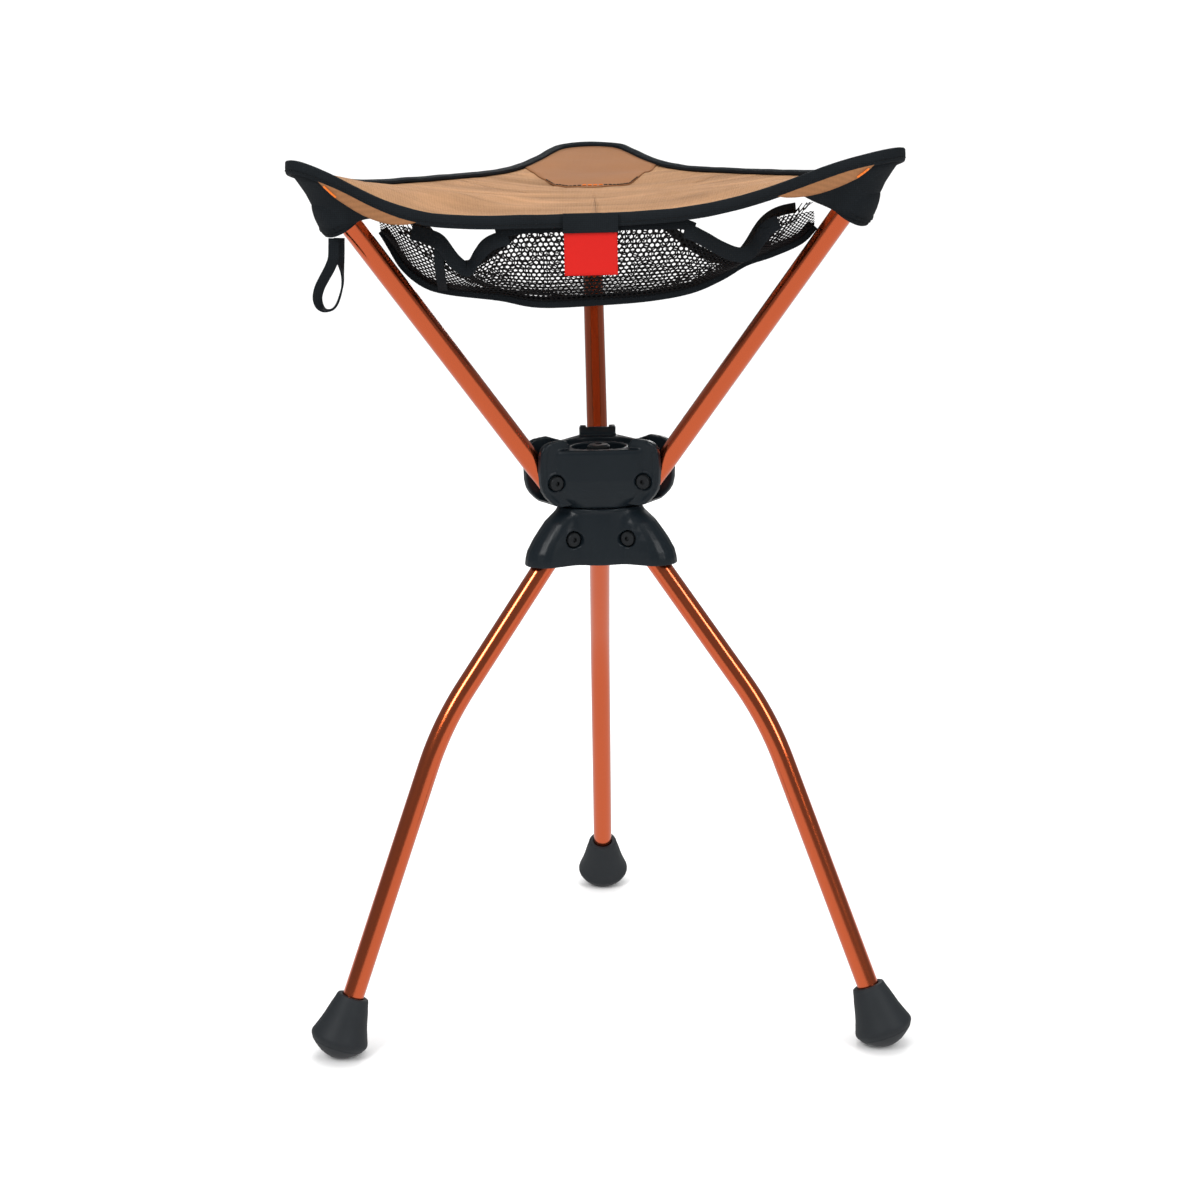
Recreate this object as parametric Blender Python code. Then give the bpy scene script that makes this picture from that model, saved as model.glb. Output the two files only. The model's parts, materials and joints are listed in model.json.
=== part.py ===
"""Three-leg folding camp stool with a swivel seat.

Three bent legs hinge in a lower hub, three straight arms hinge in an upper hub, and the upper hub
turns on a bolt through both. A fabric seat with a bound edge slips over the arm tips by three corner
pockets, and a mesh storage pocket hangs below it. Metres, +Z up, origin on the floor below the
middle of the stool's box. The hub's axis is AXIS_Y from the origin.
"""
import math

import bmesh
import bpy
from mathutils import Matrix, Vector

# Driving dimensions, in metres and degrees.
AXIS_Y = -0.0475               # the hub axis, so that the box is centred on the origin
ARM_ANGLES = {"left": 210.0, "right": 330.0, "back": 90.0}
GAP = 0.0003                   # between solids that touch on the real stool

TUBE_RADIUS = 0.0065           # 13 mm tube
TUBE_BORE = 0.0053
TUBE_SIDES = 16

ARM_PIVOT_RADIUS = 0.0373      # hinge pin of an arm, from the hub axis
ARM_PIVOT_Z = 0.3383
ARM_LEAN = 37.5                # from vertical
ARM_LENGTH = 0.215             # from the pin to the top of the tube
ARM_CAP_LENGTH = 0.0065

LEG_PIVOT_RADIUS = 0.0264
LEG_PIVOT_Z = 0.3025
LEG_UPPER_LEAN = 39.55
LEG_LOWER_LEAN = 22.56
LEG_BEND_DISTANCE = 0.1378     # from the pin to where the two straights would meet
LEG_BEND_RADIUS = 0.180

TUBE_TAIL = 0.0074             # tube past its hinge pin
PLUG_END = 0.0090              # end of the plug past the pin
PLUG_REACH = 0.0110            # plug on the long side of the pin
PIN_HOLE = 0.0032
PIN_RADIUS = 0.0029
PIN_BORE = 0.0023
SCREW_RADIUS = 0.0020
HEAD_RADIUS = 0.0044
HEAD_THICKNESS = 0.0027
HEAD_SOCKET_RADIUS = 0.0016
HEAD_SOCKET_DEPTH = 0.0014
COUNTERBORE_RADIUS = 0.0052
ARM_CHEEK = 0.0105             # where a screw's head sits, from the arm's own plane
CHEEK_HALF_WIDTH = 0.0112      # outer face of a cheek
COLLAR_TOP = 0.0258            # above the pin
LEG_CHEEK = 0.0110
CHANNEL_HALF_WIDTH = 0.0072

HUB_SPLIT_Z = 0.3210           # top of the lower hub
HUB_GAP = 0.0006               # to the underside of the upper hub
SEAT_HUB_TOP = 0.3580
LEG_HUB_BOTTOM = 0.2865
SWIVEL_RECESS_RADIUS = 0.0170
SWIVEL_RECESS_Z = 0.3500
BOLT_RADIUS = 0.0040
BOLT_HOLE = 0.0043
BUSHING_RADIUS = 0.0062
WASHER_THICKNESS = 0.0012
NUT_FLATS = 0.0130
NUT_HEIGHT = 0.0070
NUT_Z = 0.2925

FOOT_CENTRE_Z = 0.0119         # middle of the foot's widest ring above the floor
FOOT_RADIUS = 0.0177
FOOT_SOCKET_Z = -0.0005        # floor of the socket that the tube stands in

SEAT_TIP_RADIUS = 0.1924
SEAT_TIP_ROUND = 0.024         # radius of the rounded corner, in plan
SEAT_TIP_TURN = 66.0           # how far that round runs each way
SEAT_TIP_Z = 0.5314
SEAT_MIDDLE_Z = 0.507
SEAT_THICKNESS = 0.0020
# side: (from corner, to corner, lowest height, pull towards the axis, and the distances over
# which the edge falls away from either corner)
SEAT_SIDES = {
    "front": ("left", "right", 0.4988, 0.0120, 0.050, 0.078),
    "right": ("right", "back", 0.5168, 0.0090, 0.045, 0.065),
    "left": ("back", "left", 0.5168, 0.0090, 0.065, 0.045),
}
BINDING_THICKNESS = 0.0030
BINDING_HEIGHT = 0.0076

POCKET_MOUTH = 0.205           # along the arm, from its pin
MESH_THICKNESS = 0.0012
MESH_BOTTOM_Z = 0.4500
MESH_CORNER_Z = 0.5050
MESH_SIDE_Z = 0.4920
MESH_NOTCH_DEPTH = 0.0080

TAG_CENTRE_X = -0.0035
TAG_WIDTH = 0.0298
TAG_HEIGHT = 0.0260
TAB_HEIGHT = 0.0110
LOOP_WIDTH = 0.0062
LOOP_THICKNESS = 0.0012


# Materials.
def material(name, colour, roughness, metallic=0.0):
    surface = bpy.data.materials.new(name)
    surface.use_nodes = True
    shader = surface.node_tree.nodes["Principled BSDF"]
    shader.inputs["Base Color"].default_value = (*colour, 1.0)
    shader.inputs["Roughness"].default_value = roughness
    shader.inputs["Metallic"].default_value = metallic
    return surface


# Objects and their frames.
def add_empty(name, location, turn=0.0, parent=None):
    empty = bpy.data.objects.new(name, None)
    bpy.context.collection.objects.link(empty)
    empty.empty_display_size = 0.02
    empty.parent = parent
    empty.location = location
    empty.rotation_euler = (0.0, 0.0, math.radians(turn))
    return empty


def add_object(name, shape, surface, parent, location=(0.0, 0.0, 0.0), rotation=(0.0, 0.0, 0.0)):
    bmesh.ops.recalc_face_normals(shape, faces=shape.faces)
    mesh = bpy.data.meshes.new(name)
    shape.to_mesh(mesh)
    shape.free()
    mesh.shade_smooth()
    mesh.set_sharp_from_angle(angle=math.radians(32.0))
    mesh.materials.append(surface)
    item = bpy.data.objects.new(name, mesh)
    bpy.context.collection.objects.link(item)
    item.parent = parent
    item.location = location
    item.rotation_euler = rotation
    return item


def combine(target, name, shape, operation, parent, rotation):
    """A Boolean on a target, whose other shape stays hidden."""
    tool = add_object(name, shape, target.data.materials[0], parent, rotation=rotation)
    tool.hide_render = True
    tool.display_type = "WIRE"
    modifier = target.modifiers.new(name, "BOOLEAN")
    modifier.operation = operation
    modifier.solver = "EXACT"
    modifier.object = tool


def cut(target, name, shape, parent, rotation=(0.0, 0.0, 0.0)):
    combine(target, name, shape, "DIFFERENCE", parent, rotation)


def join(target, name, shape, parent, rotation=(0.0, 0.0, 0.0)):
    combine(target, name, shape, "UNION", parent, rotation)


# Shapes.
def bridge_rings(shape, rings, closed_path=False):
    """Join rings of equal length, in order, with quads."""
    pairs = list(zip(rings, rings[1:]))
    if closed_path:
        pairs.append((rings[-1], rings[0]))
    for lower, upper in pairs:
        count = len(lower)
        for index in range(count):
            following = (index + 1) % count
            shape.faces.new((lower[index], lower[following], upper[following], upper[index]))


def turned(profile, steps=20):
    """A solid of revolution about Z. A profile that starts and ends off the axis is a ring."""
    shape = bmesh.new()
    rings = []
    for radius, height in profile:
        if radius == 0.0:
            rings.append([shape.verts.new((0.0, 0.0, height))])
            continue
        ring = []
        for step in range(steps):
            angle = 2.0 * math.pi * step / steps
            ring.append(shape.verts.new((radius * math.cos(angle), radius * math.sin(angle), height)))
        rings.append(ring)
    pairs = list(zip(rings, rings[1:]))
    if profile[0][0] > 0.0:
        pairs.append((rings[-1], rings[0]))
    for first, second in pairs:
        if len(first) == 1:
            first, second = second, first
        for index in range(len(first)):
            following = (index + 1) % len(first)
            if len(second) == 1:
                shape.faces.new((first[index], first[following], second[0]))
            else:
                shape.faces.new((first[index], first[following], second[following], second[index]))
    return shape


def rod(radius, start, end, steps=14):
    return turned([(0.0, start), (radius, start), (radius, end), (0.0, end)], steps)


def hexagon(flats, start, end):
    return rod(flats / math.sqrt(3.0), start, end, 6)


def ring_solid(inner, outer, start, end, steps=24):
    return turned([(inner, start), (outer, start), (outer, end), (inner, end)], steps)


def prism(outline, half_width):
    """An outline in the XZ plane, extruded both ways along Y."""
    shape = bmesh.new()
    sides = []
    for side in (-half_width, half_width):
        sides.append([shape.verts.new((x, side, z)) for x, z in outline])
    shape.faces.new(sides[0])
    shape.faces.new(sides[1])
    bridge_rings(shape, sides)
    return shape


def swept_tube(path, outer, inner, sides):
    """A tube with a bore, along a path of (x, z) points in the XZ plane."""
    shape = bmesh.new()
    points = [Vector((x, 0.0, z)) for x, z in path]
    walls = {outer: [], inner: []}
    for index, point in enumerate(points):
        before = points[max(index - 1, 0)]
        after = points[min(index + 1, len(points) - 1)]
        along = (after - before).normalized()
        across = along.cross(Vector((0.0, 1.0, 0.0)))
        for radius, rings in walls.items():
            ring = []
            for side in range(sides):
                angle = 2.0 * math.pi * side / sides
                offset = across * math.cos(angle) + Vector((0.0, 1.0, 0.0)) * math.sin(angle)
                ring.append(shape.verts.new(point + offset * radius))
            rings.append(ring)
    bridge_rings(shape, walls[outer])
    bridge_rings(shape, walls[inner])
    bridge_rings(shape, [walls[outer][0], walls[inner][0]])
    bridge_rings(shape, [walls[outer][-1], walls[inner][-1]])
    return shape


def swept_section(points, sections, closed_path):
    """A solid whose section, a list of offsets, changes from point to point."""
    shape = bmesh.new()
    rings = []
    for point, section in zip(points, sections):
        rings.append([shape.verts.new(point + offset) for offset in section])
    bridge_rings(shape, rings, closed_path)
    if not closed_path:
        shape.faces.new(rings[0])
        shape.faces.new(rings[-1])
    return shape


def thick_sheet(rings, thickness):
    """A closed sheet from rings of points around a middle point, which is the first ring."""
    shape = bmesh.new()
    rims = []
    for offset in (thickness / 2.0, -thickness / 2.0):
        lift = Vector((0.0, 0.0, offset))
        layer = [[shape.verts.new(point + lift) for point in ring] for ring in rings]
        middle = layer[0][0]
        first = layer[1]
        for index in range(len(first)):
            shape.faces.new((middle, first[index], first[(index + 1) % len(first)]))
        bridge_rings(shape, layer[1:])
        rims.append(layer[-1])
    bridge_rings(shape, rims)
    return shape


# Soft shapes' outlines.
def polar(radius, angle, height=0.0):
    turn = math.radians(angle)
    return Vector((radius * math.cos(turn), radius * math.sin(turn), height))


def tip_point(corner, turn):
    """A point on a corner's round, where turn runs from -SEAT_TIP_TURN to SEAT_TIP_TURN."""
    angle = ARM_ANGLES[corner]
    return polar(SEAT_TIP_RADIUS - SEAT_TIP_ROUND, angle) + polar(SEAT_TIP_ROUND, angle + turn)


def side_ends(side):
    first, second = SEAT_SIDES[side][:2]
    return tip_point(first, SEAT_TIP_TURN), tip_point(second, -SEAT_TIP_TURN)


def side_height(side, from_first, from_second):
    """Height of a side's edge at these distances from its two corners."""
    lowest, _, first_fall, second_fall = SEAT_SIDES[side][2:]
    share = math.exp(-(from_first / first_fall) ** 2) + math.exp(-(from_second / second_fall) ** 2)
    return lowest + (SEAT_TIP_Z - lowest) * min(1.0, share)


def seat_edge(steps_per_side=12, steps_per_tip=3):
    """The seat's edge, anticlockwise from the left corner, as points at their heights."""
    points = []
    for side, (first, second, _, pull, _, _) in SEAT_SIDES.items():
        start, end = side_ends(side)
        inward = -Vector((start.x + end.x, start.y + end.y, 0.0)).normalized()
        round_length = SEAT_TIP_ROUND * math.radians(SEAT_TIP_TURN)
        length = (end - start).length
        for step in range(steps_per_tip):
            share = step / steps_per_tip
            point = tip_point(first, SEAT_TIP_TURN * share)
            point.z = side_height(side, round_length * share, length + round_length * (2.0 - share))
            points.append(point)
        for step in range(steps_per_side):
            share = step / steps_per_side
            point = start.lerp(end, share) + inward * pull * 4.0 * share * (1.0 - share)
            point.z = side_height(side, round_length + length * share,
                                  round_length + length * (1.0 - share))
            points.append(point)
        for step in range(steps_per_tip):
            share = step / steps_per_tip
            point = tip_point(second, SEAT_TIP_TURN * (share - 1.0))
            point.z = side_height(side, length + round_length * (1.0 + share),
                                  round_length * (1.0 - share))
            points.append(point)
    return points


def seat_height(edge_point, share):
    """Height of the seat sheet at a share of the way from its middle to an edge point."""
    return SEAT_MIDDLE_Z + (edge_point.z - SEAT_MIDDLE_Z) * share ** 2


def seat_rings(edge, ring_count=5):
    """Rings from the seat's middle to its edge, which dishes upwards to the corners."""
    middle = Vector((0.0, 0.0, SEAT_MIDDLE_Z))
    rings = [[middle]]
    for step in range(1, ring_count + 1):
        share = step / ring_count
        ring = []
        for point in edge:
            spot = middle.lerp(point, share)
            spot.z = seat_height(point, share)
            ring.append(spot)
        rings.append(ring)
    return rings


def corner_closeness(angle):
    """1 towards a corner and 0 towards the middle of a side."""
    return 0.5 - 0.5 * math.cos(math.radians(3.0 * (angle - 30.0)))


def mesh_rings(edge, ring_count=5):
    """Rings of the storage pocket, from its middle to its rim below the seat's edge."""
    rings = [[Vector((0.0, 0.0, MESH_BOTTOM_Z))]]
    for step in range(1, ring_count + 1):
        share = step / ring_count
        ring = []
        for point in edge:
            angle = math.degrees(math.atan2(point.y, point.x)) % 360.0
            closeness = corner_closeness(angle)
            from_front = abs(angle - 270.0)
            notch = max(0.0, 1.0 - abs(from_front - 32.0) / 14.0)
            reach = 0.955 - 0.22 * closeness
            rim = MESH_SIDE_Z + (MESH_CORNER_Z - MESH_SIDE_Z) * closeness - MESH_NOTCH_DEPTH * notch
            rim = min(rim, seat_height(point, reach) - 0.0030)
            steepness = 6.0 - 3.0 * closeness
            height = MESH_BOTTOM_Z + (rim - MESH_BOTTOM_Z) * share ** steepness
            ring.append(Vector((point.x * reach * share, point.y * reach * share, height)))
        rings.append(ring)
    return rings


# The hubs' outer walls: rings whose radius depends on the angle and the height.
def lobe_radius(delta, reach, half_width):
    """Radius of a round-ended lobe at an angle delta from the lobe's own direction."""
    delta = abs(delta)
    middle = reach - half_width
    across = middle * math.sin(delta)
    if delta > math.pi / 2.0:
        return half_width
    if delta > 0.0 and half_width / math.tan(delta) < middle:
        return half_width / math.sin(delta)
    return middle * math.cos(delta) + math.sqrt(half_width ** 2 - across ** 2)


def soft_max(values, sharpness):
    return sum(value ** sharpness for value in values) ** (1.0 / sharpness)


def from_arm(angle):
    """Smallest turn from an arm's direction, in radians."""
    turn = (angle - 90.0 + 60.0) % 120.0 - 60.0
    return math.radians(turn)


# Lower hub: (height, radius of the core, reach of a hood, half width of a hood).
LEG_HUB_SECTIONS = (
    (LEG_HUB_BOTTOM, 0.0272, 0.0521, 0.0136),
    (0.2905, 0.0272, 0.0516, 0.0136),
    (0.2950, 0.0270, 0.0503, 0.0134),
    (0.3015, 0.0267, 0.0463, 0.0129),
    (0.3070, 0.0264, 0.0420, 0.0124),
    (0.3120, 0.0261, 0.0377, 0.0118),
    (0.3152, 0.0259, 0.0336, 0.0110),
    (0.3182, 0.0256, 0.0289, 0.0100),
    (HUB_SPLIT_Z, 0.0253, 0.0262, 0.0092),
)

# Upper hub's core: (height, distance of a flat wall, greatest radius).
SEAT_HUB_SECTIONS = (
    (HUB_SPLIT_Z + HUB_GAP, 0.0256, 0.0262),
    (0.3245, 0.0264, 0.0295),
    (0.3280, 0.0276, 0.0345),
    (0.3330, 0.0287, 0.0395),
    (0.3390, 0.0292, 0.0415),
    (0.3560, 0.0290, 0.0415),
    (SEAT_HUB_TOP, 0.0280, 0.0405),
)


def leg_hub_radius(angle, core, reach, half_width):
    return soft_max((core, lobe_radius(from_arm(angle), reach, half_width)), 10.0)


def seat_hub_radius(angle, wall, greatest):
    flat = wall / math.cos(math.radians(60.0) - abs(from_arm(angle)))
    return 1.0 / soft_max((1.0 / flat, 1.0 / greatest), 14.0)


# Side view of an arm's two cheeks, in its hinge's frame: an upright edge that slants in below the
# pin, and a collar that closes the channel's inner side.
CHEEK_OUTLINE = (
    (-0.0108, -0.0150),
    (-0.0040, -0.0152),
    (0.0000, -0.0141),
    (0.0030, -0.0116),
    (0.0062, -0.0084),
    (0.0086, -0.0046),
    (0.0097, 0.0000),
    (0.0100, 0.0080),
    (0.0097, 0.0160),
    (0.0090, 0.0200),
    (0.0074, 0.0226),
    (0.0050, 0.0241),
    (0.0025, 0.0250),
    (-0.0060, COLLAR_TOP),
    (-0.0085, COLLAR_TOP - 0.0010),
    (-0.0103, COLLAR_TOP - 0.0035),
    (-0.0108, 0.0),
)


def hub_wall(sections, radius_at, steps=84):
    shape = bmesh.new()
    rings = []
    for height, *sizes in sections:
        ring = []
        for step in range(steps):
            angle = 360.0 * step / steps
            ring.append(shape.verts.new(polar(radius_at(angle, *sizes), angle, height)))
        rings.append(ring)
    bridge_rings(shape, rings)
    shape.faces.new(rings[0])
    shape.faces.new(rings[-1])
    return shape


# Frames.
def place_frames():
    """The stool's axis and one empty at each hinge, its X outwards and its Y along the pin."""
    axis = add_empty("stool_axis", (0.0, AXIS_Y, 0.0))
    arms = {}
    legs = {}
    for side, angle in ARM_ANGLES.items():
        arms[side] = add_empty("arm_%s_hinge" % side, polar(ARM_PIVOT_RADIUS, angle, ARM_PIVOT_Z), angle, axis)
        legs[side] = add_empty("leg_%s_hinge" % side, polar(LEG_PIVOT_RADIUS, angle, LEG_PIVOT_Z), angle, axis)
    return axis, arms, legs


ALONG_PIN = (math.radians(-90.0), 0.0, 0.0)     # turns a rod's Z onto the pin's Y


# Hubs.
def arm_channel_outline():
    """Side view of the room an arm needs, in its hinge's frame: open above and outwards."""
    lean = math.radians(ARM_LEAN)
    clearance = TUBE_RADIUS + 0.0005
    along = Vector((math.sin(lean), math.cos(lean)))
    below = Vector((math.cos(lean), -math.sin(lean))) * clearance
    lip = below + along * 0.022
    floor = -0.0117
    inner = -0.0118
    collar = -0.0071
    outside = 0.040
    tail_room = 0.0110              # round the pin, where the tube's end passes as the arm folds
    outline = [(inner, floor), (0.0030, floor)]
    for angle in (-60.0, -40.0, -20.0, 0.0):
        turn = math.radians(angle)
        outline.append((tail_room * math.cos(turn), tail_room * math.sin(turn)))
    outline += [
        (lip.x, lip.y),
        (outside, lip.y),
        (outside, outside),
        (collar, outside),
        (collar, 0.0040),
        (inner, -0.0020),
    ]
    return outline


def leg_slot_outline():
    """Side view of the room a leg needs: roofed by the hood and open below."""
    lean = math.radians(LEG_UPPER_LEAN)
    clearance = TUBE_RADIUS + 0.0005
    along = Vector((math.sin(lean), -math.cos(lean)))
    above = Vector((math.cos(lean), math.sin(lean))) * clearance
    roof = 0.0117
    inner = -0.0116
    bottom = -0.030
    lip = above + along * ((bottom - above.y) / along.y)
    wall_start = above + along * 0.0030
    return [
        (inner, bottom),
        (lip.x, bottom),
        (wall_start.x, wall_start.y),
        (0.0062, 0.0103),
        (0.0042, roof),
        (inner, roof),
    ]


def cut_pin_hole(hub, name, hinge, cheek):
    """The pin's hole, with a shallow seat for a head at each end."""
    reach = 0.025
    hole = turned([
        (0.0, -reach),
        (COUNTERBORE_RADIUS, -reach),
        (COUNTERBORE_RADIUS, -cheek),
        (PIN_HOLE, -cheek),
        (PIN_HOLE, cheek),
        (COUNTERBORE_RADIUS, cheek),
        (COUNTERBORE_RADIUS, reach),
        (0.0, reach),
    ], 18)
    cut(hub, name, hole, hinge, rotation=ALONG_PIN)


def make_leg_hub(axis, legs, surface):
    hub = add_object("leg_hub", hub_wall(LEG_HUB_SECTIONS, leg_hub_radius), surface, axis)
    cut(hub, "cut_leg_hub_bolt", rod(BOLT_HOLE, 0.20, 0.40), axis)
    nut_pocket = hexagon(NUT_FLATS + 2.0 * GAP, 0.20, NUT_Z + NUT_HEIGHT + GAP)
    cut(hub, "cut_leg_hub_nut", nut_pocket, axis)
    for side, hinge in legs.items():
        cut(hub, "cut_leg_slot_%s" % side, prism(leg_slot_outline(), CHANNEL_HALF_WIDTH), hinge)
        cut_pin_hole(hub, "cut_leg_pin_%s" % side, hinge, LEG_CHEEK)


def make_seat_hub(axis, arms, surface):
    hub = add_object("seat_hub", hub_wall(SEAT_HUB_SECTIONS, seat_hub_radius), surface, axis)
    for side, hinge in arms.items():
        join(hub, "join_cheeks_%s" % side, prism(CHEEK_OUTLINE, CHEEK_HALF_WIDTH), hinge)
    cut(hub, "cut_seat_hub_bore", rod(BUSHING_RADIUS + GAP, 0.20, 0.45), axis)
    cut(hub, "cut_seat_hub_recess", rod(SWIVEL_RECESS_RADIUS, SWIVEL_RECESS_Z, 0.45, 32), axis)
    washer_top = HUB_SPLIT_Z + GAP + WASHER_THICKNESS
    cut(hub, "cut_seat_hub_washer", rod(0.0203, 0.20, washer_top + GAP, 32), axis)
    for side, hinge in arms.items():
        cut(hub, "cut_arm_channel_%s" % side, prism(arm_channel_outline(), CHANNEL_HALF_WIDTH), hinge)
        cut_pin_hole(hub, "cut_arm_pin_%s" % side, hinge, ARM_CHEEK)


# Swivel.
def make_swivel(axis, steel, plastic):
    thrust_z = HUB_SPLIT_Z + GAP
    washer = ring_solid(BUSHING_RADIUS, 0.0200, thrust_z, thrust_z + WASHER_THICKNESS)
    add_object("swivel_thrust_washer", washer, plastic, axis)

    flange_z = SWIVEL_RECESS_Z + GAP
    bushing_bottom = thrust_z + GAP
    bushing = turned([
        (BOLT_HOLE, bushing_bottom),
        (BUSHING_RADIUS - GAP, bushing_bottom),
        (BUSHING_RADIUS - GAP, flange_z),
        (0.0100, flange_z),
        (0.0100, flange_z + WASHER_THICKNESS),
        (BOLT_HOLE, flange_z + WASHER_THICKNESS),
    ])
    add_object("swivel_bushing", bushing, plastic, axis)

    top_z = flange_z + WASHER_THICKNESS + GAP
    add_object("swivel_top_washer", ring_solid(BOLT_HOLE, 0.0115, top_z, top_z + WASHER_THICKNESS), steel, axis)

    head_z = top_z + WASHER_THICKNESS + GAP
    bolt = turned([
        (0.0, NUT_Z - 0.002),
        (BOLT_RADIUS, NUT_Z - 0.002),
        (BOLT_RADIUS, head_z),
        (0.0070, head_z),
        (0.0070, head_z + 0.0028),
        (0.0058, head_z + 0.0040),
        (0.0025, head_z + 0.0042),
        (0.0025, head_z + 0.0018),
        (0.0, head_z + 0.0018),
    ])
    add_object("swivel_bolt", bolt, steel, axis)

    nut = add_object("swivel_nut", hexagon(NUT_FLATS, NUT_Z, NUT_Z + NUT_HEIGHT), steel, axis)
    cut(nut, "cut_swivel_nut", rod(BOLT_HOLE, 0.20, 0.40), axis)


# Hinge pins.
def make_pin(kind, side, hinge, cheek, steel):
    """A barrel nut that is the hinge pin, and the screw in it, both along the hinge's Y."""
    head_start = cheek + GAP
    head_end = head_start + HEAD_THICKNESS
    barrel = turned([
        (0.0, -head_end + HEAD_SOCKET_DEPTH),
        (HEAD_SOCKET_RADIUS, -head_end + HEAD_SOCKET_DEPTH),
        (HEAD_SOCKET_RADIUS, -head_end),
        (HEAD_RADIUS, -head_end),
        (HEAD_RADIUS, -head_start),
        (PIN_RADIUS, -head_start),
        (PIN_RADIUS, cheek - 0.0006),
        (PIN_BORE, cheek - 0.0006),
        (PIN_BORE, -0.0060),
        (0.0, -0.0060),
    ], 12)
    add_object("%s_barrel_nut_%s" % (kind, side), barrel, steel, hinge, rotation=ALONG_PIN)
    screw = turned([
        (0.0, -0.0050),
        (SCREW_RADIUS, -0.0050),
        (SCREW_RADIUS, head_start),
        (HEAD_RADIUS, head_start),
        (HEAD_RADIUS, head_end),
        (HEAD_SOCKET_RADIUS, head_end),
        (HEAD_SOCKET_RADIUS, head_end - HEAD_SOCKET_DEPTH),
        (0.0, head_end - HEAD_SOCKET_DEPTH),
    ], 12)
    add_object("%s_screw_%s" % (kind, side), screw, steel, hinge, rotation=ALONG_PIN)


# Tubes, plugs and caps. An arm's or a leg's own Z runs along its tube, away from the pin.
def make_plug(name, hinge, tilt, surface):
    plug = turned([
        (0.0, -PLUG_END),
        (TUBE_RADIUS - 0.0002, -PLUG_END),
        (TUBE_RADIUS - 0.0002, -TUBE_TAIL - GAP),
        (TUBE_BORE - GAP, -TUBE_TAIL - GAP),
        (TUBE_BORE - GAP, PLUG_REACH),
        (0.0, PLUG_REACH),
    ], 14)
    item = add_object(name, plug, surface, hinge, rotation=tilt)
    cut(item, "cut_" + name, rod(PIN_HOLE, -0.02, 0.02), hinge, rotation=ALONG_PIN)


def make_arm(side, hinge, metal, plastic):
    tilt = (0.0, math.radians(ARM_LEAN), 0.0)
    path = [(0.0, -TUBE_TAIL), (0.0, 0.012), (0.0, ARM_LENGTH)]
    tube = add_object("arm_tube_%s" % side, swept_tube(path, TUBE_RADIUS, TUBE_BORE, TUBE_SIDES), metal, hinge,
                      rotation=tilt)
    cut(tube, "cut_arm_tube_%s" % side, rod(PIN_HOLE, -0.02, 0.02), hinge, rotation=ALONG_PIN)
    make_plug("arm_plug_%s" % side, hinge, tilt, plastic)
    start = ARM_LENGTH + GAP
    stem = TUBE_BORE - GAP
    dome = []
    for step in range(3):
        turn = math.radians(90.0 * step / 3)
        dome.append((TUBE_RADIUS * math.cos(turn), start + 0.002 + (ARM_CAP_LENGTH - 0.002) * math.sin(turn)))
    profile = [(0.0, ARM_LENGTH - 0.014), (stem, ARM_LENGTH - 0.014), (stem, start), (TUBE_RADIUS, start)]
    profile += dome
    profile.append((0.0, start + ARM_CAP_LENGTH))
    add_object("arm_cap_%s" % side, turned(profile, 14), plastic, hinge, rotation=tilt)


def leg_path():
    """Centre line of a leg in its hinge's XZ plane: two straights and an arc between them."""
    upper = math.radians(LEG_UPPER_LEAN)
    lower = math.radians(LEG_LOWER_LEAN)
    first = Vector((math.sin(upper), -math.cos(upper)))
    second = Vector((math.sin(lower), -math.cos(lower)))
    corner = first * LEG_BEND_DISTANCE
    tangent = LEG_BEND_RADIUS * math.tan((upper - lower) / 2.0)
    start = corner - first * tangent
    centre = start + Vector((-first.y, first.x)) * -LEG_BEND_RADIUS
    path = [first * -TUBE_TAIL, first * 0.012]
    steps = 5
    for step in range(steps + 1):
        lean = upper + (lower - upper) * step / steps
        path.append(centre + Vector((math.cos(lean), math.sin(lean))) * LEG_BEND_RADIUS)
    foot_distance = (leg_corner_height() - FOOT_CENTRE_Z) / math.cos(lower)
    end = foot_distance - FOOT_SOCKET_Z - GAP
    path.append(corner + second * (end - 0.040))
    path.append(corner + second * end)
    return [(point.x, point.y) for point in path]


def make_leg(side, hinge, metal, plastic):
    tube = add_object("leg_tube_%s" % side, swept_tube(leg_path(), TUBE_RADIUS, TUBE_BORE, TUBE_SIDES), metal,
                      hinge)
    cut(tube, "cut_leg_tube_%s" % side, rod(PIN_HOLE, -0.02, 0.02), hinge, rotation=ALONG_PIN)
    make_plug("leg_plug_%s" % side, hinge, (0.0, math.radians(180.0 - LEG_UPPER_LEAN), 0.0), plastic)


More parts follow.
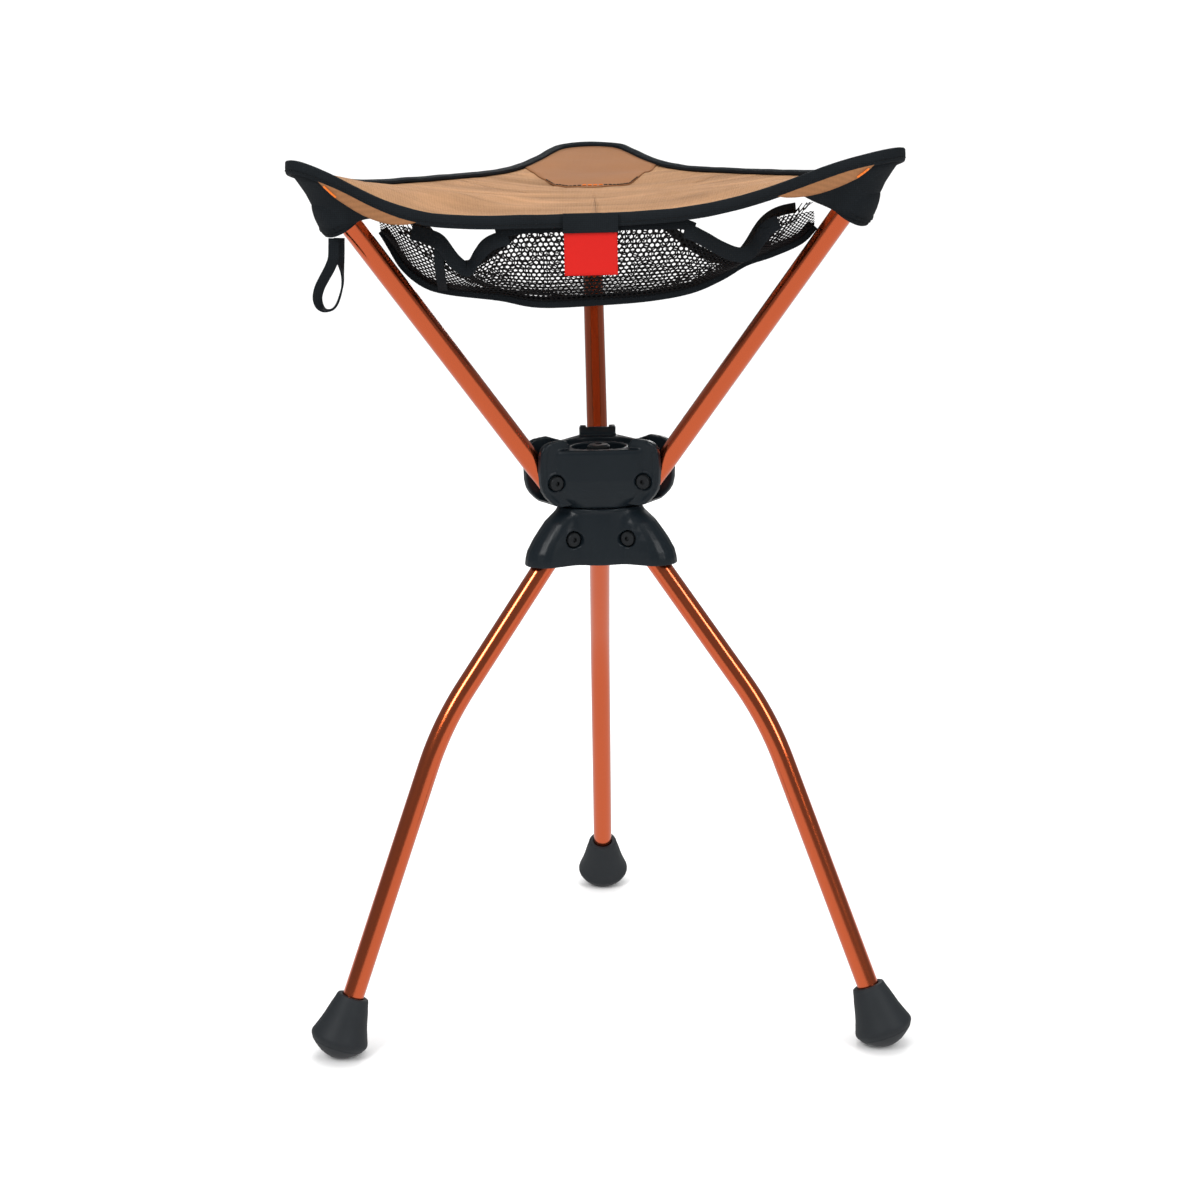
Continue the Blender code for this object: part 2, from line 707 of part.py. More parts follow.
def make_foot(side, hinge, rubber):
    """A bell-shaped foot on the end of a leg, with a small flat where it stands."""
    socket = TUBE_RADIUS + GAP
    outline = [
        (0.0, FOOT_SOCKET_Z),
        (socket, FOOT_SOCKET_Z),
        (socket, 0.0259),
        (0.0092, 0.0261),
        (0.0100, 0.0250),
        (0.0117, 0.0190),
        (0.0138, 0.0110),
        (0.0160, 0.0045),
        (0.0174, 0.0008),
        (FOOT_RADIUS, -0.0012),
        (0.0166, -0.0040),
        (0.0138, -0.0068),
        (0.0088, -0.0104),
        (0.0040, -0.0124),
        (0.0, -0.0130),
    ]
    shape = turned(outline, 18)
    lean = math.radians(LEG_LOWER_LEAN)
    centre_x = leg_corner_reach() + (leg_corner_height() - FOOT_CENTRE_Z) * math.tan(lean)
    place = Vector((centre_x - LEG_PIVOT_RADIUS, 0.0, FOOT_CENTRE_Z - LEG_PIVOT_Z))
    shape.transform(Matrix.Rotation(-lean, 4, "Y"))
    floor = Vector((0.0, 0.0, -FOOT_CENTRE_Z))
    geometry = list(shape.verts) + list(shape.edges) + list(shape.faces)
    cut_edges = bmesh.ops.bisect_plane(shape, geom=geometry, plane_co=floor, plane_no=(0.0, 0.0, -1.0),
                                       clear_outer=True)
    rim = [item for item in cut_edges["geom_cut"] if isinstance(item, bmesh.types.BMEdge)]
    bmesh.ops.holes_fill(shape, edges=rim)
    add_object("foot_%s" % side, shape, rubber, hinge, location=place)


def leg_corner_reach():
    return LEG_PIVOT_RADIUS + LEG_BEND_DISTANCE * math.sin(math.radians(LEG_UPPER_LEAN))


def leg_corner_height():
    return LEG_PIVOT_Z - LEG_BEND_DISTANCE * math.cos(math.radians(LEG_UPPER_LEAN))


# Seat.
def make_seat(axis, canvas, tape):
    edge = seat_edge()
    add_object("seat_panel", thick_sheet(seat_rings(edge), SEAT_THICKNESS), canvas, axis)
    inner = 0.0004
    outer = inner + BINDING_THICKNESS
    half = BINDING_HEIGHT / 2.0
    sections = []
    for index, point in enumerate(edge):
        along = edge[(index + 1) % len(edge)] - edge[index - 1]
        outward = Vector((along.y, -along.x, 0.0)).normalized()
        section = []
        for reach, lift in ((inner, -half), (outer, -half), (outer, half), (inner, half)):
            section.append(outward * reach + Vector((0.0, 0.0, lift)))
        sections.append(section)
    add_object("edge_binding", swept_section(edge, sections, True), tape, axis)


# Corner pocket: (place along the arm, middle across it, half depth, half width), from mouth to tip.
POCKET_SECTIONS = (
    (POCKET_MOUTH, 0.0032, 0.0118, 0.0155),
    (0.2120, 0.0030, 0.0114, 0.0155),
    (0.2185, 0.0024, 0.0104, 0.0140),
    (0.2230, 0.0024, 0.0086, 0.0110),
    (0.2255, 0.0030, 0.0050, 0.0070),
)


def make_corner_pocket(side, hinge, tape):
    steps = 18
    points = []
    sections = []
    for place, middle, half_depth, half_width in POCKET_SECTIONS:
        points.append(Vector((middle, 0.0, place)))
        section = []
        for step in range(steps):
            turn = 2.0 * math.pi * step / steps
            section.append(Vector((half_depth * math.cos(turn), half_width * math.sin(turn), 0.0)))
        sections.append(section)
    tilt = (0.0, math.radians(ARM_LEAN), 0.0)
    pocket = add_object("corner_pocket_%s" % side, swept_section(points, sections, False), tape, hinge,
                        rotation=tilt)
    room = rod(TUBE_RADIUS + 0.0005, 0.15, ARM_LENGTH + ARM_CAP_LENGTH + 0.0008)
    cut(pocket, "cut_corner_pocket_%s" % side, room, hinge, rotation=tilt)


def make_mesh_pocket(axis, mesh_cloth):
    edge = seat_edge(10, 2)
    add_object("mesh_pocket", thick_sheet(mesh_rings(edge), MESH_THICKNESS), mesh_cloth, axis)


# Tag and its tab, which hang from the middle of the front edge.
def box_shape(low, high):
    shape = bmesh.new()
    bmesh.ops.create_cube(shape, size=1.0)
    size = Vector(high) - Vector(low)
    middle = (Vector(high) + Vector(low)) / 2.0
    bmesh.ops.scale(shape, vec=size, verts=shape.verts)
    bmesh.ops.translate(shape, vec=middle, verts=shape.verts)
    return shape


def make_tag(axis, tape, red):
    edge_z, pull = SEAT_SIDES["front"][2:4]
    start, end = side_ends("front")
    binding_y = (start.y + end.y) / 2.0 + pull - 0.0004 - BINDING_THICKNESS
    left = TAG_CENTRE_X - TAG_WIDTH / 2.0
    right = TAG_CENTRE_X + TAG_WIDTH / 2.0
    tab_front = binding_y - 0.0018
    tab_back = binding_y - 0.0006
    tab_top = edge_z + BINDING_HEIGHT / 2.0 + 0.0005
    tab = box_shape((left - 0.0005, tab_front, tab_top - TAB_HEIGHT), (right + 0.0005, tab_back, tab_top))
    add_object("tag_tab", tab, tape, axis)
    tag_top = edge_z - BINDING_HEIGHT / 2.0 - 0.0004
    tag = box_shape((left, tab_back + GAP, tag_top - TAG_HEIGHT), (right, tab_back + 0.0011, tag_top))
    add_object("label_tag", tag, red, axis)


# Carry loop: a webbing loop that hangs from the left pocket's lip. Points from the stool's axis, each
# with the angle that the webbing's wide side is turned to, about the vertical.
LOOP_ROUTE = (
    ((-0.1478, -0.0862, 0.4913), 10.0),
    ((-0.1480, -0.0864, 0.4868), 10.0),
    ((-0.1486, -0.0868, 0.4800), 14.0),
    ((-0.1506, -0.0874, 0.4750), 20.0),
    ((-0.1538, -0.0882, 0.4695), 26.0),
    ((-0.1568, -0.0890, 0.4640), 30.0),
    ((-0.1582, -0.0894, 0.4585), 36.0),
    ((-0.1572, -0.0893, 0.4540), 50.0),
    ((-0.1542, -0.0888, 0.4514), 70.0),
    ((-0.1504, -0.0880, 0.4516), 90.0),
    ((-0.1476, -0.0872, 0.4545), 96.0),
    ((-0.1454, -0.0864, 0.4600), 96.0),
    ((-0.1440, -0.0858, 0.4660), 92.0),
    ((-0.1440, -0.0853, 0.4720), 86.0),
    ((-0.1447, -0.0848, 0.4775), 60.0),
    ((-0.1452, -0.0843, 0.4820), 30.0),
    ((-0.1452, -0.0840, 0.4868), 12.0),
    ((-0.1450, -0.0838, 0.4913), 10.0),
)


def make_carry_loop(axis, tape):
    points = [Vector(point) for point, _ in LOOP_ROUTE]
    sections = []
    for index, point in enumerate(points):
        before = points[max(index - 1, 0)]
        after = points[min(index + 1, len(points) - 1)]
        along = (after - before).normalized()
        turn = math.radians(LOOP_ROUTE[index][1])
        wide = Vector((math.cos(turn), math.sin(turn), 0.0))
        wide = (wide - along * wide.dot(along)).normalized()
        thin = along.cross(wide)
        section = []
        for across, depth in ((-1.0, -1.0), (1.0, -1.0), (1.0, 1.0), (-1.0, 1.0)):
            section.append(wide * across * LOOP_WIDTH / 2.0 + thin * depth * LOOP_THICKNESS / 2.0)
        sections.append(section)
    add_object("carry_loop", swept_section(points, sections, False), tape, axis)


def main():
    for item in list(bpy.data.objects):
        bpy.data.objects.remove(item, do_unlink=True)
    anodised = material("anodised_orange", (0.90, 0.18, 0.04), 0.28, 0.9)
    hub_plastic = material("black_plastic", (0.022, 0.026, 0.030), 0.45)
    plug_plastic = material("black_nylon", (0.03, 0.03, 0.033), 0.5)
    white_nylon = material("white_nylon", (0.75, 0.74, 0.70), 0.4)
    steel = material("blackened_steel", (0.05, 0.05, 0.055), 0.35, 0.8)
    rubber = material("dark_rubber", (0.035, 0.037, 0.040), 0.7)
    canvas = material("brown_canvas", (0.50, 0.27, 0.14), 0.85)
    tape = material("black_tape", (0.02, 0.024, 0.028), 0.8)
    mesh_cloth = material("black_mesh", (0.012, 0.012, 0.013), 0.7)
    red = material("red_label", (0.80, 0.02, 0.015), 0.6)

    axis, arms, legs = place_frames()
    make_leg_hub(axis, legs, hub_plastic)
    make_seat_hub(axis, arms, hub_plastic)
    make_swivel(axis, steel, white_nylon)
    for side in ARM_ANGLES:
        make_arm(side, arms[side], anodised, plug_plastic)
        make_pin("arm", side, arms[side], ARM_CHEEK, steel)
        make_corner_pocket(side, arms[side], tape)
        make_leg(side, legs[side], anodised, plug_plastic)
        make_pin("leg", side, legs[side], LEG_CHEEK, steel)
        make_foot(side, legs[side], rubber)
    make_seat(axis, canvas, tape)
    make_mesh_pocket(axis, mesh_cloth)
    make_tag(axis, tape, red)
    make_carry_loop(axis, tape)


main()
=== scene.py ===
"""Looks of a folding tripod camp stool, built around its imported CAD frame."""

import bisect
import json
import math

import bmesh
import bpy
from mathutils import Euler, Matrix, Vector, noise


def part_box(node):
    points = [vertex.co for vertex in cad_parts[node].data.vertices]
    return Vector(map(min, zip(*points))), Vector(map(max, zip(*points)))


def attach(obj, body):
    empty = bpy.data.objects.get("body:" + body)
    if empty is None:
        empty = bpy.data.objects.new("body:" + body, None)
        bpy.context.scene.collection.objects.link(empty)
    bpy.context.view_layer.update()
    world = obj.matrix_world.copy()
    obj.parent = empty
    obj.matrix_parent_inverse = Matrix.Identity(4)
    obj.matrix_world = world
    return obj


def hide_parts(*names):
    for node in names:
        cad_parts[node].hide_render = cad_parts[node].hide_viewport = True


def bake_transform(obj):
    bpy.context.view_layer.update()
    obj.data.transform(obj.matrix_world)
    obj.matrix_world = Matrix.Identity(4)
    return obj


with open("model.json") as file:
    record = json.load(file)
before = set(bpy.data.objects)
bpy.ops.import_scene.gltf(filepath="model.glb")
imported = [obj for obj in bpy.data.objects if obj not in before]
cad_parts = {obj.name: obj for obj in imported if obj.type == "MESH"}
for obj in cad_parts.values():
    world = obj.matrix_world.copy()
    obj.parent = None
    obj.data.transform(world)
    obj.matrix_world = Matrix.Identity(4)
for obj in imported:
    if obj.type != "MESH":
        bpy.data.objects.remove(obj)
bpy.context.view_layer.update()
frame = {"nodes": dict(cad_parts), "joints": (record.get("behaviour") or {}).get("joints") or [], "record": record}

JOINTS = {joint["name"]: joint for joint in frame["joints"]}
AXIS_Y = JOINTS["seat_swivel"]["pos_m"][1]
AXIS = Matrix.Translation((0.0, AXIS_Y, 0.0))     # places shapes made about the hub axis
IN_FRAME = Matrix.Identity(4)                      # and those made in the frame itself
ANGLES = {"left": 210.0, "right": 330.0, "back": 90.0}

TUBE_RADIUS = 0.0065
TUBE_BORE = 0.0053
TUBE_TAIL = 0.0074              # how far a tube goes past its hinge into the hub
ARM_LEAN = 37.5                 # leans are in degrees from the vertical
ARM_LENGTH = 0.215
LEG_UPPER_LEAN = 39.55
LEG_LOWER_LEAN = 22.56
LEG_BEND_DISTANCE = 0.1378      # from the hinge to the crossing of a leg's two straight lines
LEG_BEND_RADIUS = 0.180
FOOT_CENTRE_Z = 0.0119          # height of a foot's widest ring

SEAT_TIP_RADIUS = 0.1924        # from the axis to the seat's corners
SEAT_TIP_ROUND = 0.024
SEAT_TIP_TURN = 66.0            # degrees that a corner's round takes up on each side
SEAT_TIP_Z = 0.5314
SEAT_MIDDLE_Z = 0.507
SIDE_STEPS = 60
TIP_STEPS = 10
SECTOR = SIDE_STEPS + 2 * TIP_STEPS     # points of the edge from one corner to the next

# Sides of the seat: corners, lowest height, inward pull, and how fast the edge falls from each corner.
SEAT_SIDES = {
    "front": ("left", "right", 0.4988, 0.0120, 0.050, 0.078),
    "right": ("right", "back", 0.5168, 0.0090, 0.045, 0.065),
    "left": ("back", "left", 0.5168, 0.0090, 0.065, 0.045),
}


# Shapes.
def polar(radius, angle, height=0.0):
    turn = math.radians(angle)
    return Vector((radius * math.cos(turn), radius * math.sin(turn), height))


def skin(shape, rings, closed=False):
    """Faces between rings of equal length, with caps on the ends of an open run."""
    loops = [[shape.verts.new(point) for point in ring] for ring in rings]
    pairs = list(zip(loops, loops[1:]))
    if closed:
        pairs.append((loops[-1], loops[0]))
    for one, two in pairs:
        for index in range(len(one)):
            after = (index + 1) % len(one)
            shape.faces.new((one[index], one[after], two[after], two[index]))
    if not closed:
        shape.faces.new(loops[0])
        shape.faces.new(loops[-1])
    return shape


def directions(path, closed=False):
    """Along, across and third direction at each point of a path, carried on without twist."""
    result = []
    across = None
    for index, point in enumerate(path):
        before = path[index - 1] if index > 0 or closed else point
        last = index == len(path) - 1
        after = path[(index + 1) % len(path)] if closed or not last else point
        along = (after - before).normalized()
        across = along.orthogonal() if across is None else across - along * across.dot(along)
        across.normalize()
        result.append((along, across.copy(), along.cross(across)))
    return result


def pipe_rings(path, radius, sides, closed=False):
    rings = []
    for point, (_, across, third) in zip(path, directions(path, closed)):
        ring = []
        for step in range(sides):
            turn = 2.0 * math.pi * step / sides
            ring.append(point + (across * math.cos(turn) + third * math.sin(turn)) * radius)
        rings.append(ring)
    return rings


def pipe(path, radius, sides=12, closed=False, shape=None):
    shape = shape or bmesh.new()
    return skin(shape, pipe_rings(path, radius, sides, closed), closed)


def hollow_pipe(path, outer, inner):
    rings = pipe_rings(path, outer, 48)
    rings += reversed(pipe_rings(path, inner, 48))
    return skin(bmesh.new(), rings, closed=True)


def hexagon_radius(flats, turn):
    part = (turn + math.pi / 6.0) % (math.pi / 3.0) - math.pi / 6.0
    return flats / 2.0 / math.cos(part)


def turned(profile, sides=48):
    """A body about Z from points of (radius, height), where a radius ("hex", flats) makes a hexagon."""
    rings = []
    for radius, height in profile:
        ring = []
        for step in range(sides):
            turn = 2.0 * math.pi * step / sides
            reach = hexagon_radius(radius[1], turn) if isinstance(radius, tuple) else max(radius, 1e-5)
            ring.append(Vector((reach * math.cos(turn), reach * math.sin(turn), height)))
        rings.append(ring)
    return skin(bmesh.new(), rings)


def smooth_path(points, steps=6):
    """A Catmull-Rom curve through the points."""
    points = [Vector(point) for point in points]
    ends = [points[0] * 2.0 - points[1]] + points + [points[-1] * 2.0 - points[-2]]
    result = []
    for index in range(1, len(ends) - 2):
        a, b, c, d = ends[index - 1:index + 3]
        for step in range(steps):
            t = step / steps
            result.append(0.5 * (2.0 * b + (c - a) * t + (2.0 * a - 5.0 * b + 4.0 * c - d) * t * t
                                 + (3.0 * b - a - 3.0 * c + d) * t ** 3))
    return result + [points[-1]]


def path_length(path):
    return sum((two - one).length for one, two in zip(path, path[1:]))


def at_share(path, share):
    """The point at a share of a path's own length."""
    left = share * path_length(path)
    for one, two in zip(path, path[1:]):
        step = (two - one).length
        if left <= step:
            return one.lerp(two, left / step)
        left -= step
    return path[-1].copy()


# Section of a flat band with rounded edges, as shares of its half width and half thickness.
RIBBON_SECTION = ((-1, -0.32), (-0.92, -1), (0, -1), (0.92, -1), (1, -0.32),
                  (1, 0.32), (0.92, 1), (0, 1), (-0.92, 1), (-1, 0.32))


def ribbon(path, wides, width, thickness):
    """A flat band whose wide side lies along the direction given at each point."""
    rings = []
    for index, (point, wide) in enumerate(zip(path, wides)):
        before = path[max(0, index - 1)]
        after = path[min(len(path) - 1, index + 1)]
        along = (after - before).normalized()
        wide = (wide - along * wide.dot(along)).normalized()
        thin = along.cross(wide)
        rings.append([point + wide * across * width / 2.0 + thin * depth * thickness / 2.0
                      for across, depth in RIBBON_SECTION])
    return skin(bmesh.new(), rings)


# Materials.
SURFACES = {}


def add_node(tree, kind, **values):
    made = tree.nodes.new(kind)
    for key, value in values.items():
        made.inputs[key].default_value = value
    return made


def add_range(tree, value, from_min, from_max, to_min, to_max):
    made = tree.nodes.new("ShaderNodeMapRange")
    limits = {"From Min": from_min, "From Max": from_max, "To Min": to_min, "To Max": to_max}
    for key, limit in limits.items():
        made.inputs[key].default_value = limit
    tree.links.new(value, made.inputs["Value"])
    return made.outputs["Result"]


def scaled_sum(tree, added, scale, base):
    """The output of added * scale + base."""
    sum_node = add_node(tree, "ShaderNodeMath")
    sum_node.operation = "MULTIPLY_ADD"
    sum_node.inputs[1].default_value = scale
    tree.links.new(added, sum_node.inputs[0])
    tree.links.new(base, sum_node.inputs[2])
    return sum_node.outputs[0]


def relief(tree, grain, stretch, weave, weave_axes, folds):
    """Broad and fine noise, with a weave's bands and long folds added where they are asked for."""
    place = tree.nodes.new("ShaderNodeTexCoord").outputs["Object"]
    mapping = add_node(tree, "ShaderNodeMapping", Scale=stretch)
    tree.links.new(place, mapping.inputs["Vector"])
    broad = add_node(tree, "ShaderNodeTexNoise", Scale=26.0, Detail=4.0, Roughness=0.6)
    fine = add_node(tree, "ShaderNodeTexNoise", Scale=grain, Detail=3.0, Roughness=0.6)
    both = add_node(tree, "ShaderNodeMath")
    both.operation = "ADD"
    for index, texture in enumerate((broad, fine)):
        tree.links.new(mapping.outputs["Vector"], texture.inputs["Vector"])
        tree.links.new(texture.outputs["Fac"], both.inputs[index])
    half = add_node(tree, "ShaderNodeMath")
    half.operation = "MULTIPLY"
    half.inputs[1].default_value = 0.5
    tree.links.new(both.outputs[0], half.inputs[0])
    height = half.outputs[0]
    if weave:
        for axis in weave_axes:
            band = add_node(tree, "ShaderNodeTexWave", Scale=0.314 / weave, Distortion=0.6)
            band.bands_direction = axis
            band.inputs["Detail Scale"].default_value = 1.5
            tree.links.new(place, band.inputs["Vector"])
            height = scaled_sum(tree, band.outputs["Fac"], 0.22, height)
    if folds:
        streaks = add_node(tree, "ShaderNodeMapping", Scale=(9.0, 75.0, 9.0))
        tree.links.new(place, streaks.inputs["Vector"])
        crease = add_node(tree, "ShaderNodeTexNoise", Scale=1.0, Detail=3.0, Roughness=0.55, Distortion=0.6)
        tree.links.new(streaks.outputs["Vector"], crease.inputs["Vector"])
        height = scaled_sum(tree, crease.outputs["Fac"], folds, height)
    return height


def surface(name, colour, roughness, variation, grain, bump, metallic=0.0, specular=0.5, coat=0.0,
            weave=0.0, weave_axes="XY", folds=0.0, stretch=(1.0, 1.0, 1.0)):
    """A Principled material whose colour, roughness and relief vary together.

    grain is the fine noise's scale, bump the relief in metres, and weave the pitch of a cloth's threads.
    """
    material = bpy.data.materials.new(name)
    material.use_nodes = True
    tree = material.node_tree
    shader = tree.nodes["Principled BSDF"]
    shader.inputs["Metallic"].default_value = metallic
    shader.inputs["Specular IOR Level"].default_value = specular
    shader.inputs["Coat Weight"].default_value = coat
    shader.inputs["Coat Roughness"].default_value = 0.12
    height = relief(tree, grain, stretch, weave, weave_axes, folds)

    # The colour follows the relief's height, darker where it is low and lighter where it is high. From noise and
    # weave this is random tone; where folds are asked for, it is painted shade in the folds' hollows and painted
    # light on their crests.
    middle = 0.5 + 0.5 * folds + (0.11 * len(weave_axes) if weave else 0.0)
    reach = 0.22 + 0.15 * folds
    tone_and_fold_shade = add_range(tree, height, middle - reach, middle + reach, 0.0, 1.0)
    ramp = tree.nodes.new("ShaderNodeValToRGB")
    low, high = ramp.color_ramp.elements
    low.color = [part * (1.0 - variation) for part in colour] + [1.0]
    high.color = [min(1.0, part * (1.0 + variation)) for part in colour] + [1.0]
    tree.links.new(tone_and_fold_shade, ramp.inputs["Fac"])
    tree.links.new(ramp.outputs["Color"], shader.inputs["Base Color"])

    rough = add_range(tree, height, 0.3, 0.8, max(0.03, roughness - 0.06), min(1.0, roughness + 0.06))
    tree.links.new(rough, shader.inputs["Roughness"])

    raised = add_node(tree, "ShaderNodeBump", Strength=1.0, Distance=bump)
    tree.links.new(height, raised.inputs["Height"])
    tree.links.new(raised.outputs["Normal"], shader.inputs["Normal"])
    SURFACES[name] = material


def make_surfaces():
    """Colour, roughness, variation, grain and bump of each slot and of the extra looks."""
    surface("anodised_orange", (0.90, 0.145, 0.030), 0.20, 0.06, 2200.0, 0.000004, metallic=1.0, coat=1.0,
            stretch=(1.0, 1.0, 0.08))
    surface("hub_plastic", (0.0055, 0.0095, 0.013), 0.36, 0.2, 1500.0, 0.00003, specular=0.30)
    surface("dark_steel", (0.018, 0.020, 0.022), 0.36, 0.2, 1400.0, 0.00001, metallic=0.5, specular=0.3)
    surface("white_nylon", (0.72, 0.70, 0.66), 0.42, 0.04, 900.0, 0.00001)
    surface("black_nylon", (0.010, 0.011, 0.013), 0.45, 0.2, 1200.0, 0.00002, specular=0.3)
    surface("dark_rubber", (0.015, 0.018, 0.021), 0.58, 0.15, 1700.0, 0.00006, specular=0.30)
    surface("black_tape", (0.0060, 0.0085, 0.011), 0.70, 0.35, 1400.0, 0.00020, specular=0.16,
            weave=0.0011, weave_axes="XZ")
    surface("black_mesh", (0.004, 0.004, 0.005), 0.62, 0.3, 2500.0, 0.00003, specular=0.15)
    # The brown canvas's folds paint shade and light into its colour as well as giving its relief.
    surface("brown_canvas", (0.385, 0.212, 0.108), 0.82, 0.34, 1100.0, 0.00090, specular=0.2,
            weave=0.0009, folds=1.4)
    surface("panel_canvas", (0.262, 0.118, 0.050), 0.76, 0.13, 1300.0, 0.00018, specular=0.2, weave=0.0008)
    surface("red_label", (0.52, 0.010, 0.007), 0.60, 0.07, 1500.0, 0.00012, specular=0.15, weave=0.0006,
            weave_axes="XZ")
    surface("dark_thread", (0.004, 0.005, 0.006), 0.60, 0.2, 2500.0, 0.00004, specular=0.2)
    surface("orange_thread", (0.75, 0.17, 0.02), 0.55, 0.15, 2500.0, 0.00004, specular=0.2)


def add_object(name, data):
    item = bpy.data.objects.new(name, data)
    bpy.context.collection.objects.link(item)
    return item


def piece(name, shape, look, body=None, place=AXIS, sharp=38.0):
    """A new object from a bmesh, placed in the frame, smooth but for its sharp edges."""
    shape.transform(place)
    bmesh.ops.recalc_face_normals(shape, faces=shape.faces)
    mesh = bpy.data.meshes.new(name)
    shape.to_mesh(mesh)
    shape.free()
    mesh.materials.append(SURFACES[look])
    mesh.shade_smooth()
    mesh.set_sharp_from_angle(angle=math.radians(sharp))
    item = add_object(name, mesh)
    if body:
        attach(item, body)
    return item


def hinge_place(kind, side):
    """Places a shape made at a hinge, with its X away from the hub axis."""
    pivot = Matrix.Translation(JOINTS["%s_%s_fold" % (kind, side)]["pos_m"])
    return pivot @ Matrix.Rotation(math.radians(ANGLES[side]), 4, "Z")


# Camera and light.
CAMERA_PLACE = (-0.01706, -1.31984, 0.56993)    # from the stool's axis
CAMERA_DIP = 0.2294
CAMERA_ROLL = -0.0215


def make_camera():
    data = bpy.data.cameras.new("camera")
    data.sensor_width = 36.0
    data.lens = 65.04
    data.shift_x = 0.02164
    data.shift_y = -0.00346
    camera = add_object("camera", data)
    x, y, z = CAMERA_PLACE
    place = Matrix.Translation((x, y + AXIS_Y, z))
    pitch = Euler((math.radians(90.0) - CAMERA_DIP, 0.0, 0.0)).to_matrix().to_4x4()
    camera.matrix_world = place @ pitch @ Matrix.Rotation(CAMERA_ROLL, 4, "Z")
    bpy.context.scene.camera = camera


def area_light(name, place, wide, tall, power):
    """A lamp of that size and power that faces the middle of the stool."""
    data = bpy.data.lights.new(name, "AREA")
    data.shape = "RECTANGLE"
    data.size = wide
    data.size_y = tall
    data.energy = power
    lamp = add_object(name, data)
    lamp.location = place
    lamp.rotation_euler = (Vector((0.0, 0.0, 0.3)) - Vector(place)).to_track_quat("-Z", "Y").to_euler()


def for_glossy_rays(tree, seen, glossy, output):
    """Gives glossy rays one shader and all others the one that is seen."""
    path = tree.nodes.new("ShaderNodeLightPath")
    mix = tree.nodes.new("ShaderNodeMixShader")
    tree.links.new(path.outputs["Is Glossy Ray"], mix.inputs["Fac"])
    tree.links.new(seen, mix.inputs[1])
    tree.links.new(glossy, mix.inputs[2])
    tree.links.new(mix.outputs["Shader"], tree.nodes[output].inputs["Surface"])


STAGE_HALF_WIDTH = 5.0
STAGE_FRONT = -4.0
BACKDROP_START = 2.2
BACKDROP_BEND = 0.8
BACKDROP_TOP = 4.0


def stage_sheet(name, rows, glossy_shade):
    """A wide pale sheet that glossy rays see as a flat glow of its own shade, a painted reflection for the metal.
    """
    shape = bmesh.new()
    lines = [[shape.verts.new((x, y, z)) for x in (-STAGE_HALF_WIDTH, STAGE_HALF_WIDTH)] for y, z in rows]
    for one, two in zip(lines, lines[1:]):
        shape.faces.new((one[0], one[1], two[1], two[0]))
    mesh = bpy.data.meshes.new(name)
    shape.to_mesh(mesh)
    shape.free()
    mesh.shade_smooth()
    material = bpy.data.materials.new(name)
    material.use_nodes = True
    tree = material.node_tree
    pale = tree.nodes["Principled BSDF"]
    pale.inputs["Base Color"].default_value = (0.94, 0.94, 0.94, 1.0)
    pale.inputs["Roughness"].default_value = 0.9
    # Glossy rays meet this grey glow instead of the lit sheet: a painted reflection, brighter on the floor and
    # darker on the backdrop.
    painted_reflection = tree.nodes.new("ShaderNodeEmission")
    painted_reflection.inputs["Color"].default_value = (glossy_shade, glossy_shade, glossy_shade, 1.0)
    for_glossy_rays(tree, pale.outputs["BSDF"], painted_reflection.outputs["Emission"], "Material Output")
    mesh.materials.append(material)
    add_object(name, mesh)


def make_studio():
    rows = [(BACKDROP_START, 0.0)]
    for step in range(1, 9):
        turn = math.radians(90.0 * step / 8)
        rows.append((BACKDROP_START + BACKDROP_BEND * math.sin(turn),
                     BACKDROP_BEND * (1.0 - math.cos(turn))))
    rows.append((BACKDROP_START + BACKDROP_BEND, BACKDROP_TOP))
    stage_sheet("floor", [(STAGE_FRONT, 0.0), (BACKDROP_START, 0.0)], 0.66)
    stage_sheet("backdrop", rows, 0.22)

    world = bpy.data.worlds.new("studio")
    world.use_nodes = True
    bpy.context.scene.world = world
    tree = world.node_tree
    bright = tree.nodes["Background"]
    bright.inputs["Color"].default_value = (1.0, 1.0, 1.0, 1.0)
    bright.inputs["Strength"].default_value = 0.95
    dim = tree.nodes.new("ShaderNodeBackground")
    dim.inputs["Color"].default_value = (0.80, 0.90, 1.0, 1.0)
    dim.inputs["Strength"].default_value = 0.20
    for_glossy_rays(tree, bright.outputs["Background"], dim.outputs["Background"], "World Output")

    area_light("key", (-1.3, -1.7, 2.1), 0.7, 1.1, 26.0)
    area_light("fill", (1.5, -1.5, 1.5), 0.5, 1.3, 14.0)
    area_light("top", (0.0, 0.2, 2.3), 1.2, 1.2, 16.0)
    area_light("rim", (0.5, 1.9, 1.3), 0.5, 1.2, 10.0)
    bpy.context.scene.view_settings.view_transform = "Standard"


# Carry loop: the same route as its CAD solid's, from the stool's axis, with the turn of its wide side.
LOOP_ROUTE = (
    ((-0.1478, -0.0862, 0.4913), 10.0),
    ((-0.1480, -0.0864, 0.4868), 10.0),
    ((-0.1486, -0.0868, 0.4800), 14.0),
    ((-0.1506, -0.0874, 0.4750), 20.0),
    ((-0.1538, -0.0882, 0.4695), 26.0),
    ((-0.1568, -0.0890, 0.4640), 30.0),
    ((-0.1582, -0.0894, 0.4585), 36.0),
    ((-0.1572, -0.0893, 0.4540), 50.0),
    ((-0.1542, -0.0888, 0.4514), 70.0),
    ((-0.1504, -0.0880, 0.4516), 90.0),
    ((-0.1476, -0.0872, 0.4545), 96.0),
    ((-0.1454, -0.0864, 0.4600), 96.0),
    ((-0.1440, -0.0858, 0.4660), 92.0),
    ((-0.1440, -0.0853, 0.4720), 86.0),
    ((-0.1447, -0.0848, 0.4775), 60.0),
    ((-0.1452, -0.0843, 0.4820), 30.0),
    ((-0.1452, -0.0840, 0.4868), 12.0),
    ((-0.1450, -0.0838, 0.4913), 10.0),
)
LOOP_WIDTH = 0.0062
LOOP_THICKNESS = 0.0012


